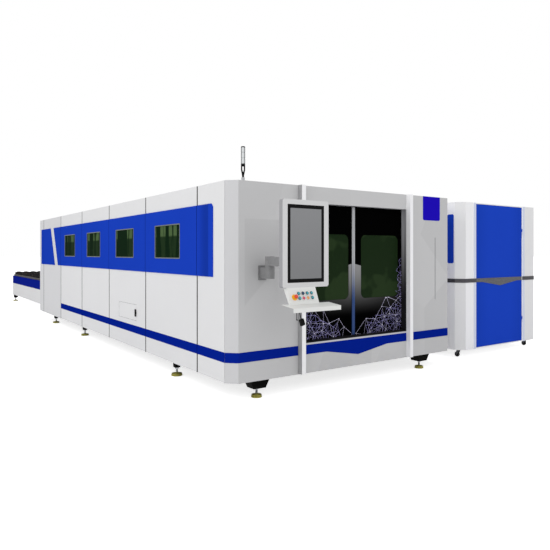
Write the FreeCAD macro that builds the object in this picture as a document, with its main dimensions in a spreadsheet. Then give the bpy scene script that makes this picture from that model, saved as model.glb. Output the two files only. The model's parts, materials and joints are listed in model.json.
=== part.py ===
"""Enclosed fiber laser cutting machine with its exchange table, swing console and laser cabinet.

Millimetres, +Z up. The front doors face -Y and the exchange table stands behind, towards +Y.
The origin is on the floor, in the middle of everything that stands there.
Each sub-part is laid out from the enclosure: x from its centre plane, y from its front face.
"""

import FreeCAD
import Part
import Sketcher

import math
import os

DRIVING_SIZES = [
    # enclosure
    ("enclosure_length", 8575),
    ("enclosure_width", 3438),
    ("body_bottom", 195),
    ("body_top", 2226),
    ("corner_chamfer", 100),
    ("sheet_gauge", 2),
    ("panel_depth", 40),
    ("seam_gap", 8),
    ("front_column_width", 604),
    ("blank_panel_width", 1524),
    ("end_column_width", 387),
    ("window_panel_count", 4),
    ("roof_panel_count", 5),
    # side windows
    ("side_window_width", 740),
    ("side_window_height", 410),
    ("side_window_bottom", 1430),
    ("side_window_shift", 50),
    ("side_window_corner", 16),
    ("window_frame_width", 13),
    ("window_frame_proud", 3),
    ("side_pane_thickness", 6),
    # blue covers
    ("band_bottom", 1250),
    ("band_height", 763),
    ("band_start", 339),
    ("band_end_margin", 185),
    ("band_thickness", 8),
    ("band_corner", 35),
    ("slash_inset", 223),
    ("slash_width", 268),
    ("slash_lean", 370),
    ("stripe_bottom", 401),
    ("stripe_height", 101),
    ("stripe_thickness", 3),
    ("vee_half_width", 477),
    ("vee_drop", 78),
    ("corner_block_width", 331),
    ("corner_block_height", 308),
    ("corner_block_offset", 1130),
    ("corner_block_corner", 26),
    # front opening and its sliding leaves
    ("opening_width", 1636),
    ("opening_bottom", 535),
    ("opening_top", 2040),
    ("fin_width", 54),
    ("fin_depth", 65),
    ("fin_bottom", 203),
    ("liner_depth", 82),
    ("track_depth", 58),
    ("track_height", 46),
    ("track_reach", 1600),
    ("leaf_width", 829),
    ("leaf_thickness", 40),
    ("leaf_gap", 3),
    ("leaf_overlap", 24),
    ("leaf_window_width", 637),
    ("leaf_window_height", 753),
    ("leaf_window_offset", 126),
    ("leaf_window_bottom", 960),
    ("leaf_window_corner", 70),
    ("leaf_pane_thickness", 8),
    ("edge_bar_width", 45),
    ("edge_bar_depth", 8),
    ("groove_offset", 1369),
    ("groove_bottom", 893),
    ("groove_height", 807),
    ("groove_width", 15),
    ("groove_depth", 1.2),
    # service hatch
    ("hatch_inset", 326),
    ("hatch_width", 710),
    ("hatch_bottom", 570),
    ("hatch_height", 220),
    ("hatch_gap", 3),
    ("hatch_knuckle_radius", 5),
    ("hatch_knuckle_height", 34),
    ("latch_radius", 15),
    ("latch_inset", 24),
    ("latch_cam_length", 36),
    ("latch_grip_width", 25),
    ("latch_grip_height", 100),
    # bed
    ("bed_beam_width", 300),
    ("bed_beam_wall", 12),
    ("bed_beam_top", 905),
    ("bed_end_clearance", 85),
    ("bed_front_clearance", 160),
    ("cross_beam_depth", 120),
    ("cross_beam_height", 300),
    ("cross_tube_size", 120),
    ("cross_tube_count", 5),
    ("ledge_reach", 140),
    ("ledge_thickness", 20),
    ("lower_ledge_top", 585),
    ("upper_ledge_top", 765),
    ("rail_width", 34),
    ("rail_height", 30),
    ("rack_width", 28),
    ("rack_gap", 16),
    ("rail_end_margin", 100),
    # levelling feet
    ("front_bracket_top_width", 240),
    ("front_bracket_bottom_width", 147),
    ("front_bracket_depth", 146),
    ("side_bracket_top_width", 80),
    ("side_bracket_bottom_width", 66),
    ("side_bracket_depth", 70),
    ("foot_bracket_height", 95),
    ("front_foot_inset", 388),
    ("right_front_foot_inset", 530),
    ("front_foot_y", 115),
    ("side_foot_inset", 130),
    ("side_foot_y_front", 1512),
    ("side_foot_middle_inset", 3120),
    ("side_foot_rear_inset", 957),
    ("front_pad_radius", 57),
    ("side_pad_radius", 68),
    ("foot_pad_height", 38),
    ("foot_screw_radius", 13),
    ("foot_nut_height", 18),
    ("foot_nut_radius", 23),
    # gantry, carriage and cutting head
    ("gantry_rest_y", 1300),
    ("gantry_half_length", 1560),
    ("gantry_depth", 260),
    ("gantry_bottom", 1000),
    ("gantry_height", 330),
    ("gantry_wall", 10),
    ("truck_length", 420),
    ("truck_inner_offset", 70),
    ("cross_rail_size", 20),
    ("carriage_width", 280),
    ("carriage_height", 260),
    ("carriage_thickness", 25),
    ("head_plate_width", 140),
    ("head_plate_height", 340),
    ("head_plate_thickness", 30),
    ("head_radius", 45),
    ("head_length", 300),
    ("nozzle_tip_height", 1035),
    ("running_gap", 0.3),
    # exchange pallets
    ("pallet_length", 5240),
    ("pallet_side_clearance", 24),
    ("pallet_rail_width", 80),
    ("pallet_rail_height", 70),
    ("slat_height", 80),
    ("slat_thickness", 6),
    ("slat_pitch", 191),
    ("slat_tooth_count", 13),
    ("slat_tooth_height", 26),
    ("pallet_inside_margin", 1275),
    ("pallet_table_margin", 275),
    # rear wall
    ("passage_side_margin", 9),
    ("passage_bottom", 556),
    ("passage_top", 990),
    ("shutter_thickness", 25),
    ("shutter_overlap", 6),
    # exchange table
    ("table_end_margin", 80),
    ("table_side_inset", 340),
    ("table_beam_bottom", 560),
    ("table_beam_top", 785),
    ("table_beam_wall", 12),
    ("table_tube_size", 80),
    ("table_tube_count", 4),
    ("table_leg_size", 110),
    ("table_tube_start", 640),
    ("table_foot_margin", 150),
    ("table_end_thickness", 60),
    ("skirt_top", 555),
    ("skirt_return", 30),
    # signal lamp
    ("lamp_inset_x", 227),
    ("lamp_inset_y", 120),
    ("lamp_radius", 22),
    ("lamp_height", 174),
    ("lamp_loop_height", 113),
    ("lamp_post_height", 71),
    # swing arm
    ("arm_inset_x", 382),
    ("arm_out_y", 140),
    ("arm_bottom", 1240),
    ("arm_split", 1352),
    ("arm_top", 1463),
    ("arm_knuckle_radius", 48),
    ("arm_pin_radius", 10),
    ("arm_pin_clearance", 0.05),
    ("arm_length", 824),
    ("arm_angle", 17.05),
    ("arm_beam_width", 60),
    ("arm_block_width", 70),
    ("arm_plate_height", 150),
    ("arm_plate_thickness", 8),
    ("sleeve_height", 82),
    # console
    ("console_width", 490),
    ("console_height", 734),
    ("console_thickness", 48),
    ("console_bottom", 1210),
    ("console_corner", 22),
    ("console_standoff", 64),
    ("bezel_width", 388),
    ("bezel_height", 652),
    ("bezel_thickness", 3),
    ("screen_width", 330),
    ("screen_height", 589),
    ("desk_left", 207),
    ("desk_width", 303),
    ("desk_slope_run", 55),
    ("desk_slope_rise", 132),
    ("tray_left", 273),
    ("tray_width", 495),
    ("tray_front", 188),
    ("tray_depth", 160),
    ("tray_drop", 17),
    ("tray_lip", 36),
    ("button_spacing", 45),
    ("button_row_gap", 41),
    ("button_radius", 14),
    ("button_height", 8),
    ("button_travel", 4),
    ("collar_wall", 4),
    ("collar_height", 8),
    ("first_button_x", 104),
    ("first_button_up", 48),
    ("estop_x", 59),
    ("estop_up", 59),
    ("estop_disc_radius", 26),
    ("estop_cap_radius", 17),
    ("estop_stem_radius", 9),
    ("estop_collar_height", 14),
    ("socket_width", 38),
    ("socket_height", 55),
    ("socket_depth", 20),
    ("lead_radius", 4),
    ("lead_x", 81),
    ("lead_y", 30),
    ("gland_height", 4),
    ("hook_offset", 28),
    ("hook_length", 98),
    # laser cabinet
    ("cabinet_gap", 387),
    ("cabinet_front", 144),
    ("cabinet_width", 1950),
    ("cabinet_depth", 1100),
    ("cabinet_bottom", 120),
    ("cabinet_top", 2220),
    ("cabinet_chamfer", 106),
    ("cabinet_wall", 30),
    ("cabinet_door_start", 347),
    ("cabinet_door_width", 1163),
    ("cabinet_door_thickness", 36),
    ("cabinet_door_gap", 3),
    ("cabinet_rib_width", 70),
    ("cabinet_rib_depth", 8),
    ("belt_bottom", 1075),
    ("belt_height", 56),
    ("belt_thickness", 6),
    ("belt_vee_drop", 62),
    ("belt_vee_half_width", 440),
    ("cabinet_strip_start", 124),
    ("cabinet_strip_width", 108),
    ("cabinet_strip_bottom", 1350),
    ("cabinet_strip_height", 700),
    ("cabinet_strip_thickness", 3),
    ("hinge_radius", 6),
    ("hinge_pin_radius", 3),
    ("hinge_height", 45),
    ("hinge_lower", 420),
    ("hinge_upper", 1780),
    ("caster_inset_left", 150),
    ("caster_inset_right", 85),
    ("caster_inset_y", 150),
    ("caster_trail", 28),
    ("wheel_radius", 37.5),
    ("wheel_width", 28),
    ("wheel_bore_radius", 6),
    ("fork_plate", 4),
    ("fork_gap", 3),
    ("fork_head_radius", 27),
    ("fork_head_height", 8),
    ("caster_plate_height", 8),
    ("kingpin_radius", 7),
    ("unit_width", 700),
    ("unit_height", 420),
    ("unit_depth", 640),
]


class Size:
    """A number that remembers the sheet expression it was worked out from."""

    def __init__(self, value, text):
        self.value = float(value)
        self.text = text

    @staticmethod
    def of(other):
        return other if isinstance(other, Size) else Size(other, repr(float(other)))

    def __add__(self, other):
        other = Size.of(other)
        return Size(self.value + other.value, f"({self.text} + {other.text})")

    def __sub__(self, other):
        other = Size.of(other)
        return Size(self.value - other.value, f"({self.text} - {other.text})")

    def __mul__(self, other):
        other = Size.of(other)
        return Size(self.value * other.value, f"({self.text} * {other.text})")

    def __truediv__(self, other):
        other = Size.of(other)
        return Size(self.value / other.value, f"({self.text} / {other.text})")

    def __neg__(self):
        return Size(-self.value, f"(0 - {self.text})")

    def __radd__(self, other):
        return Size.of(other) + self

    def __rsub__(self, other):
        return Size.of(other) - self

    def __rmul__(self, other):
        return Size.of(other) * self


def sine(angle):
    return Size(math.sin(math.radians(angle.value)), f"sin({angle.text})")


def cosine(angle):
    return Size(math.cos(math.radians(angle.value)), f"cos({angle.text})")


def arctangent(rise, run):
    return Size(math.degrees(math.atan2(rise.value, run.value)), f"(atan({rise.text} / {run.text}) / 1 deg)")


DOC = FreeCAD.newDocument("laser_cutting_machine")
SHEET = DOC.addObject("Spreadsheet::Sheet", "Sizes")


def fill_sheet():
    """Write the driving sizes to the sheet and return them by name."""
    sizes = {}
    for row, (alias, number) in enumerate(DRIVING_SIZES, start=1):
        SHEET.set(f"A{row}", alias)
        SHEET.set(f"B{row}", str(number))
        SHEET.setAlias(f"B{row}", alias)
        sizes[alias] = Size(number, f"Sizes.{alias}")
    DOC.recompute()
    return sizes


S = fill_sheet()


def size(alias):
    return S[alias]


def bind(target, path, length):
    """Tie a property or a constraint of an object to the sheet."""
    target.setExpression(path, Size.of(length).text)


# Shared places, all from the enclosure's centre plane, front face and the floor.
HALF_WIDTH = size("enclosure_width") / 2
LENGTH = size("enclosure_length")
BODY_HEIGHT = size("body_top") - size("body_bottom")
GAUGE = size("sheet_gauge")
DEPTH = size("panel_depth")
RUN = size("running_gap")
SEAM = size("seam_gap")
CABINET_LEFT = HALF_WIDTH + size("cabinet_gap")
ARM_X = size("arm_inset_x") - HALF_WIDTH
WRIST_X = ARM_X - size("arm_length") * sine(size("arm_angle"))
WRIST_Y = -size("arm_out_y") - size("arm_length") * cosine(size("arm_angle"))
CONSOLE_FACE = WRIST_Y - size("console_standoff") - size("console_thickness")
TRAY_FRONT = CONSOLE_FACE - size("tray_front")
DESK_FOOT = size("console_bottom") - size("desk_slope_rise")
TABLE_LENGTH = size("pallet_table_margin") + size("pallet_length") + size("table_end_margin")
TABLE_END = LENGTH + TABLE_LENGTH
BEAM_OUTER = HALF_WIDTH - DEPTH
BEAM_INNER = BEAM_OUTER - size("bed_beam_width")
RAIL_X = BEAM_OUTER - size("bed_beam_width") / 2
PALLET_HALF = BEAM_INNER - size("pallet_side_clearance")
OPENING_HALF = size("opening_width") / 2
PORTAL_HALF = OPENING_HALF + size("fin_width")
WINDOWED_LENGTH = (
    LENGTH
    - size("corner_chamfer")
    - size("front_column_width")
    - size("blank_panel_width")
    - size("end_column_width")
)
WINDOW_PANEL = WINDOWED_LENGTH / size("window_panel_count")
HATCH_START = size("corner_chamfer") + size("front_column_width") + WINDOW_PANEL + size("hatch_inset")

ORIGIN_X = (CABINET_LEFT + size("cabinet_width") + WRIST_X - size("tray_left")) / 2
ORIGIN_Y = (TABLE_END + TRAY_FRONT) / 2

NODES = []


class Profile:
    """A sketch square to one axis, drawn at a place along that axis."""

    NORMALS = {"XY": 1, "XZ": -1, "YZ": 1}

    def __init__(self, body, plane, at=0, slope=None, foot=None):
        self.plane = plane
        self.sketch = body.newObject("Sketcher::SketchObject", "Sketch")
        planes = {feature.Role: feature for feature in body.Origin.OriginFeatures}
        self.sketch.AttachmentSupport = [(planes[f"{plane}_Plane"], "")]
        self.sketch.MapMode = "FlatFace"
        if slope is None:
            bind(self.sketch, "AttachmentOffset.Base.z", Size.of(at) * self.NORMALS[plane])
        else:
            tilt = FreeCAD.Rotation(FreeCAD.Vector(-1, 0, 0), slope.value)
            self.sketch.AttachmentOffset = FreeCAD.Placement(FreeCAD.Vector(), tilt)
            bind(self.sketch, "AttachmentOffset.Base.y", foot[1])
            bind(self.sketch, "AttachmentOffset.Base.z", -Size.of(foot[0]))

    def _fix(self, kind, geometry, vertex, value):
        """Hold one coordinate of a sketch point."""
        value = Size.of(value)
        index = self.sketch.addConstraint(
            Sketcher.Constraint(kind, -1, 1, geometry, vertex, value.value)
        )
        bind(self.sketch, f"Constraints[{index}]", value)

    def _radius(self, geometry, radius):
        index = self.sketch.addConstraint(Sketcher.Constraint("Radius", geometry, Size.of(radius).value))
        bind(self.sketch, f"Constraints[{index}]", radius)

    def polygon(self, points):
        """A closed outline of straight sides."""
        spots = [(Size.of(x), Size.of(y)) for x, y in points]
        first = self.sketch.GeometryCount
        count = len(spots)
        for (x0, y0), (x1, y1) in zip(spots, spots[1:] + spots[:1]):
            start = FreeCAD.Vector(x0.value, y0.value, 0)
            end = FreeCAD.Vector(x1.value, y1.value, 0)
            self.sketch.addGeometry(Part.LineSegment(start, end))
        for number, (x, y) in enumerate(spots):
            after = first + (number + 1) % count
            self.sketch.addConstraint(Sketcher.Constraint("Coincident", first + number, 2, after, 1))
            self._fix("DistanceX", first + number, 1, x)
            self._fix("DistanceY", first + number, 1, y)
        return self

    def rectangle(self, left, bottom, width, height):
        left, bottom = Size.of(left), Size.of(bottom)
        right, top = left + width, bottom + height
        return self.polygon([(left, bottom), (right, bottom), (right, top), (left, top)])

    def circle(self, x, y, radius):
        centre = FreeCAD.Vector(Size.of(x).value, Size.of(y).value, 0)
        ring = Part.Circle(centre, FreeCAD.Vector(0, 0, 1), Size.of(radius).value)
        index = self.sketch.addGeometry(ring)
        self._fix("DistanceX", index, 3, x)
        self._fix("DistanceY", index, 3, y)
        self._radius(index, radius)
        return self

    def rounded(self, left, bottom, width, height, radius):
        """A rectangle with four equal round corners."""
        left, bottom, radius = Size.of(left), Size.of(bottom), Size.of(radius)
        right, top = left + width, bottom + height
        corners = [
            (left + radius, bottom + radius, 180),
            (right - radius, bottom + radius, 270),
            (right - radius, top - radius, 0),
            (left + radius, top - radius, 90),
        ]
        arcs = []
        for x, y, start in corners:
            ring = Part.Circle(FreeCAD.Vector(x.value, y.value, 0), FreeCAD.Vector(0, 0, 1), radius.value)
            begin, end = math.radians(start), math.radians(start + 90)
            arcs.append(self.sketch.addGeometry(Part.ArcOfCircle(ring, begin, end)))
        for number, arc in enumerate(arcs):
            after = arcs[(number + 1) % 4]
            start = self.sketch.getPoint(arc, 2)
            end = self.sketch.getPoint(after, 1)
            side = self.sketch.addGeometry(Part.LineSegment(start, end))
            self.sketch.addConstraint(Sketcher.Constraint("Tangent", arc, 2, side, 1))
            self.sketch.addConstraint(Sketcher.Constraint("Tangent", side, 2, after, 1))
            level = "Horizontal" if number % 2 == 0 else "Vertical"
            self.sketch.addConstraint(Sketcher.Constraint(level, side))
        self._radius(arcs[0], radius)
        for arc in arcs[1:]:
            self.sketch.addConstraint(Sketcher.Constraint("Equal", arcs[0], arc))
        self._fix("DistanceX", arcs[0], 3, corners[0][0])
        self._fix("DistanceY", arcs[0], 3, corners[0][1])
        self._fix("DistanceX", arcs[2], 3, corners[2][0])
        self._fix("DistanceY", arcs[2], 3, corners[2][1])
        return self


class Piece:
    """A body of one piece; pads and pockets run towards the plus end of the sketch's axis."""

    def __init__(self, name, x=0, y=0, z=0):
        self.body = DOC.addObject("PartDesign::Body", name)
        self.body.Label = name
        self.features = []
        bind(self.body, "Placement.Base.x", Size.of(x) - ORIGIN_X)
        bind(self.body, "Placement.Base.y", Size.of(y) - ORIGIN_Y)
        bind(self.body, "Placement.Base.z", Size.of(z))

    def turn(self, axis, angle):
        """Stand the whole piece at an angle about one of its own axes."""
        self.body.Placement = FreeCAD.Placement(
            self.body.Placement.Base, FreeCAD.Rotation(FreeCAD.Vector(*axis), angle.value)
        )
        bind(self.body, "Placement.Rotation.Angle", angle)
        return self

    def profile(self, plane, at=0):
        return Profile(self.body, plane, at)

    def sloped_profile(self, slope, foot_y, foot_z):
        return Profile(self.body, "XZ", slope=slope, foot=(foot_y, foot_z))

    def _add(self, kind, profile, length, towards_plus):
        feature = self.body.newObject(kind, kind.split("::")[1])
        feature.Profile = profile.sketch
        bind(feature, "Length", length)
        feature.Reversed = not towards_plus
        self.features.append(feature)
        self.body.Tip = feature
        return feature

    def pad(self, profile, length):
        self._add("PartDesign::Pad", profile, length, profile.plane != "XZ")
        return self

    def pad_out(self, profile, length):
        """A pad along the sketch's own normal."""
        self._add("PartDesign::Pad", profile, length, True)
        return self

    def pocket(self, profile, length):
        self._add("PartDesign::Pocket", profile, length, profile.plane == "XZ")
        return self

    def revolve(self, profile):
        """A full turn about the vertical axis of an XZ sketch."""
        feature = self.body.newObject("PartDesign::Revolution", "Revolution")
        feature.Profile = profile.sketch
        feature.ReferenceAxis = (profile.sketch, ["V_Axis"])
        feature.Angle = 360
        self.features.append(feature)
        self.body.Tip = feature
        return self

    def loft(self, low, high):
        """A tapering block between two sketches."""
        feature = self.body.newObject("PartDesign::AdditiveLoft", "Loft")
        feature.Profile = low.sketch
        feature.Sections = [high.sketch]
        feature.Ruled = True
        self.features.append(feature)
        self.body.Tip = feature
        return self

    def _origin(self, role):
        return [feature for feature in self.body.Origin.OriginFeatures if feature.Role == role][0]

    def mirror(self, features=None):
        """Repeat features on the other side of the body's YZ plane."""
        mirrored = self.body.newObject("PartDesign::Mirrored", "Mirrored")
        mirrored.Originals = features or list(self.features)
        mirrored.MirrorPlane = (self._origin("YZ_Plane"), [""])
        self.body.Tip = mirrored
        return self

    def repeat(self, axis, span, count, features=None):
        """Repeat features evenly over a span along one axis of the body."""
        pattern = self.body.newObject("PartDesign::LinearPattern", "Pattern")
        pattern.Originals = features or [self.features[-1]]
        pattern.Direction = (self._origin(f"{axis}_Axis"), [""])
        bind(pattern, "Length", span)
        bind(pattern, "Occurrences", count)
        self.body.Tip = pattern
        return self

    def node(self):
        """Mark the piece as a sub-part of the machine."""
        NODES.append(self.body)
        return self


def group(name, pieces):
    """A sub-part made of several like pieces."""
    compound = DOC.addObject("Part::Compound", name)
    compound.Label = name
    compound.Links = [piece.body for piece in pieces]
    NODES.append(compound)


# --------------------------------------------------------------------------- bed and feet


def side_beam_outline(profile, inner, outer, bottom, top):
    """A beam's section with the two pallet ledges on its inner face."""
    reach = inner - size("ledge_reach")
    low, high = size("lower_ledge_top"), size("upper_ledge_top")
    thick = size("ledge_thickness")
    profile.polygon([
        (inner, bottom),
        (outer, bottom),
        (outer, top),
        (inner, top),
        (inner, high),
        (reach, high),
        (reach, high - thick),
        (inner, high - thick),
        (inner, low),
        (reach, low),
        (reach, low - thick),
        (inner, low - thick),
    ])


def foot_bracket(piece, row, x, y):
    """The tapering bracket that a levelling screw carries, wide at the front and small at the sides."""
    depth = size(f"{row}_bracket_depth")
    top_width, bottom_width = size(f"{row}_bracket_top_width"), size(f"{row}_bracket_bottom_width")
    bottom = size("body_bottom") - size("foot_bracket_height")
    low = piece.profile("XY", bottom)
    low.rectangle(x - bottom_width / 2, y - depth * 0.45, bottom_width, depth * 0.9)
    high = piece.profile("XY", size("body_bottom"))
    high.rectangle(x - top_width / 2, y - depth / 2, top_width, depth)
    piece.loft(low, high)


def machine_foot_places():
    """The feet under the enclosure: the row, x from the centre plane and y from the front."""
    places = [
        ("front", size("front_foot_inset") - HALF_WIDTH, size("front_foot_y")),
        ("front", HALF_WIDTH - size("right_front_foot_inset"), size("front_foot_y")),
    ]
    side = HALF_WIDTH - size("side_foot_inset")
    rows = [
        size("side_foot_y_front"),
        LENGTH - size("side_foot_middle_inset"),
        LENGTH - size("side_foot_rear_inset"),
    ]
    return places + [("side", x, y) for y in rows for x in (-side, side)]


def table_foot_places():
    """The pair under the far end of the table: x from the centre plane and y from the rear wall."""
    x = HALF_WIDTH - size("table_side_inset") - size("table_leg_size") / 2
    y = TABLE_LENGTH - size("table_foot_margin")
    return [(-x, y), (x, y)]


def build_base_frame():
    piece = Piece("base_frame")
    bottom, wall = size("body_bottom"), size("bed_beam_wall")
    start = size("bed_front_clearance")
    beam_length = LENGTH - start - size("bed_end_clearance")
    beam = piece.profile("XZ", start)
    side_beam_outline(beam, BEAM_INNER, BEAM_OUTER, bottom, size("bed_beam_top"))
    beam.rectangle(
        BEAM_INNER + wall,
        bottom + wall,
        size("bed_beam_width") - wall * 2,
        size("bed_beam_top") - bottom - wall * 2,
    )
    piece.pad(beam, beam_length)
    piece.mirror()
    for row, x, y in machine_foot_places():
        foot_bracket(piece, row, x, y)
    cross_depth, cross_height = size("cross_beam_depth"), size("cross_beam_height")
    ends = [(DEPTH, BEAM_OUTER - size("corner_chamfer")), (LENGTH - DEPTH - cross_depth, BEAM_OUTER)]
    for y, reach in ends:
        section = piece.profile("YZ", -reach)
        section.rectangle(y, bottom, cross_depth, cross_height)
        section.rectangle(y + wall, bottom + wall, cross_depth - wall * 2, cross_height - wall * 2)
        piece.pad(section, reach * 2)
    tube = size("cross_tube_size")
    first = start + size("rail_end_margin") * 4
    section = piece.profile("YZ", -BEAM_INNER)
    section.rectangle(first, bottom, tube, tube)
    section.rectangle(first + wall, bottom + wall, tube - wall * 2, tube - wall * 2)
    piece.pad(section, BEAM_INNER * 2)
    piece.repeat("Y", LENGTH - first * 2 - tube, size("cross_tube_count"))
    piece.node()


def build_bed_rails():
    piece = Piece("bed_rails")
    top, height = size("bed_beam_top"), size("rail_height")
    start = size("bed_front_clearance") + size("rail_end_margin")
    section = piece.profile("XZ", start)
    section.rectangle(RAIL_X - size("rail_width") / 2, top, size("rail_width"), height)
    rack = RAIL_X + size("rail_width") / 2 + size("rack_gap")
    section.rectangle(rack, top, size("rack_width"), height)
    end = LENGTH - size("bed_end_clearance") - size("rail_end_margin")
    piece.pad(section, end - start)
    piece.mirror()
    piece.node()


def foot_screw(name, x, y):
    """A levelling screw with the jam nut that locks it under its bracket."""
    piece = Piece(name, x, y, 0)
    seat = size("body_bottom") - size("foot_bracket_height")
    half = piece.profile("XZ")
    pad_top = size("foot_pad_height")
    half.rectangle(0, pad_top, size("foot_screw_radius"), seat - pad_top)
    piece.revolve(half)
    nut = piece.profile("XY", seat - size("foot_nut_height"))
    corner = size("foot_nut_radius")
    lift = corner * math.sin(math.radians(60))
    nut.polygon([
        (corner, 0),
        (corner / 2, lift),
        (-corner / 2, lift),
        (-corner, 0),
        (-corner / 2, -lift),
        (corner / 2, -lift),
    ])
    piece.pad(nut, size("foot_nut_height"))
    return piece


def foot_pad(name, row, x, y):
    """A turned pad with a groove round its rim and a boss on top."""
    piece = Piece(name, x, y, 0)
    radius, top = size(f"{row}_pad_radius"), size("foot_pad_height")
    half = piece.profile("XZ")
    half.polygon([
        (0, 0),
        (radius, 0),
        (radius, top * 0.34),
        (radius - 4, top * 0.42),
        (radius - 4, top * 0.5),
        (radius - 1, top * 0.58),
        (radius - 3, top * 0.84),
        (radius * 0.45, top * 0.9),
        (radius * 0.4, top),
        (0, top),
    ])
    piece.revolve(half)
    return piece


def build_feet():
    screws, pads = [], []
    places = machine_foot_places() + [("side", x, LENGTH + y) for x, y in table_foot_places()]
    for number, (row, x, y) in enumerate(places):
        screws.append(foot_screw(f"foot_screw_{number}", x, y))
        pads.append(foot_pad(f"foot_pad_{number}", row, x, y))
    group("foot_screws", screws)
    group("foot_pads", pads)


# --------------------------------------------------------------------------- enclosure


def module_starts():
    """Where each side panel starts, from the front face, and how wide it is."""
    start = size("corner_chamfer")
    widths = [size("front_column_width")]
    widths += [WINDOW_PANEL] * int(size("window_panel_count").value)
    widths += [size("blank_panel_width")]
    modules = []
    for width in widths:
        modules.append((start, width))
        start = start + width
    modules.append((start, LENGTH - start))
    return modules


def window_start(module_start, module_width):
    centre = module_start + module_width / 2 + size("side_window_shift")
    return centre - size("side_window_width") / 2


def is_window_module(number):
    return 1 <= number <= int(size("window_panel_count").value)


def side_panel(side, number, start, width):
    """A folded tray; the left ones have the windows and the hatch."""
    left = side == "left"
    piece = Piece(f"{side}_panel_{number}", -HALF_WIDTH if left else BEAM_OUTER, 0, size("body_bottom"))
    low = start + SEAM / 2
    clear = width - SEAM
    face = piece.profile("YZ").rectangle(low, 0, clear, BODY_HEIGHT)
    piece.pad(face, DEPTH)
    inside = piece.profile("YZ", GAUGE if left else 0)
    inside.rectangle(low + GAUGE, GAUGE, clear - GAUGE * 2, BODY_HEIGHT - GAUGE * 2)
    piece.pocket(inside, DEPTH - GAUGE)
    if left and is_window_module(number):
        window = piece.profile("YZ")
        window.rounded(
            window_start(start, width),
            size("side_window_bottom") - size("body_bottom"),
            size("side_window_width"),
            size("side_window_height"),
            size("side_window_corner"),
        )
        piece.pocket(window, GAUGE)
    if left and number == 2:
        hatch_opening(piece)
    return piece


def hatch_axis():
    """Where the hatch turns: x from the centre plane and y from the front."""
    x = -HALF_WIDTH - size("hatch_knuckle_radius") - RUN
    return x, HATCH_START + size("hatch_width") + size("hatch_gap")


def hatch_knuckle_bottoms():
    low = size("hatch_bottom") + 24
    return [low, size("hatch_bottom") + size("hatch_height") - 24 - size("hatch_knuckle_height") * 2]


def hatch_opening(piece):
    """Cut the service opening and add the hinge halves with their pins."""
    base = size("body_bottom")
    opening = piece.profile("YZ")
    opening.rectangle(
        HATCH_START, size("hatch_bottom") - base, size("hatch_width"), size("hatch_height")
    )
    piece.pocket(opening, GAUGE)
    x = hatch_axis()[0] + HALF_WIDTH
    y = hatch_axis()[1]
    radius = size("hatch_knuckle_radius")
    for bottom in hatch_knuckle_bottoms():
        foot = piece.profile("XY", bottom - base)
        foot.polygon([
            (x - radius * 0.8, y),
            (x + radius * 0.4, y),
            (GAUGE / 2, y + radius * 0.2),
            (GAUGE / 2, y + radius * 4),
        ])
        piece.pad(foot, size("hatch_knuckle_height"))
        knuckle = piece.profile("XY", bottom - base)
        knuckle.circle(x, y, radius)
        piece.pad(knuckle, size("hatch_knuckle_height"))
        pin = piece.profile("XY", bottom + size("hatch_knuckle_height") - base)
        pin.circle(x, y, size("hatch_knuckle_radius") / 2)
        piece.pad(pin, size("hatch_knuckle_height") * 0.9)


def build_side_panels():
    panels = []
    for side in ("left", "right"):
        for number, (start, width) in enumerate(module_starts()):
            panels.append(side_panel(side, number, start, width))
    group("side_panels", panels)


def build_hatch():
    clear = size("hatch_gap")
    low = HATCH_START + clear
    bottom, height = size("hatch_bottom") + clear, size("hatch_height") - clear * 2
    width = size("hatch_width") - clear * 2
    piece = Piece("hatch_door", -HALF_WIDTH)
    face = piece.profile("YZ").rectangle(low, bottom, width, height)
    piece.pad(face, GAUGE)
    rim = piece.profile("YZ", GAUGE)
    margin = size("latch_inset") * 2
    rim.rectangle(low + margin, bottom + 12, width - margin * 2, height - 24)
    rim.rectangle(
        low + margin + GAUGE,
        bottom + 12 + GAUGE,
        width - (margin + GAUGE) * 2,
        height - 24 - GAUGE * 2,
    )
    piece.pad(rim, GAUGE * 5)
    x, y = hatch_axis()
    local_x = x + HALF_WIDTH
    radius = size("hatch_knuckle_radius")
    for base in hatch_knuckle_bottoms():
        seat = base + size("hatch_knuckle_height") + RUN
        leaf = piece.profile("XY", seat)
        leaf.polygon([
            (GAUGE / 2, y - radius * 5),
            (local_x * 0.4, y - radius * 5),
            (local_x - radius * 0.8, y),
            (local_x + radius * 0.4, y),
            (GAUGE / 2, y - radius * 1.4),
        ])
        piece.pad(leaf, size("hatch_knuckle_height"))
        knuckle = piece.profile("XY", seat).circle(local_x, y, radius)
        piece.pad(knuckle, size("hatch_knuckle_height"))
        bore = piece.profile("XY", seat)
        bore.circle(local_x, y, radius / 2 + size("arm_pin_clearance"))
        piece.pocket(bore, size("hatch_knuckle_height"))
    stem_radius = size("latch_radius") / 3
    hole = piece.profile("YZ")
    latch_y = HATCH_START + size("latch_inset")
    latch_z = size("hatch_bottom") + size("hatch_height") / 2
    hole.circle(latch_y, latch_z, stem_radius + size("arm_pin_clearance"))
    piece.pocket(hole, GAUGE * 2)
    piece.node()

    latch = Piece("hatch_latch", -HALF_WIDTH, latch_y, latch_z)
    rose = latch.profile("YZ", -RUN - 5).circle(0, 0, size("latch_radius"))
    latch.pad(rose, 5)
    grip = latch.profile("YZ", -RUN - 18)
    grip_width, grip_height = size("latch_grip_width"), size("latch_grip_height")
    grip.rounded(-grip_width / 2, -grip_height / 2, grip_width, grip_height, grip_width * 0.4)
    latch.pad(grip, 13)
    stem = latch.profile("YZ", -RUN - 5).circle(0, 0, stem_radius)
    latch.pad(stem, 5 + RUN * 2 + GAUGE)
    cam_length = size("latch_cam_length")
    cam = latch.profile("YZ", GAUGE + RUN).rectangle(-6, -cam_length, 12, cam_length + 6)
    latch.pad(cam, 3)
    latch.node()


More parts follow.
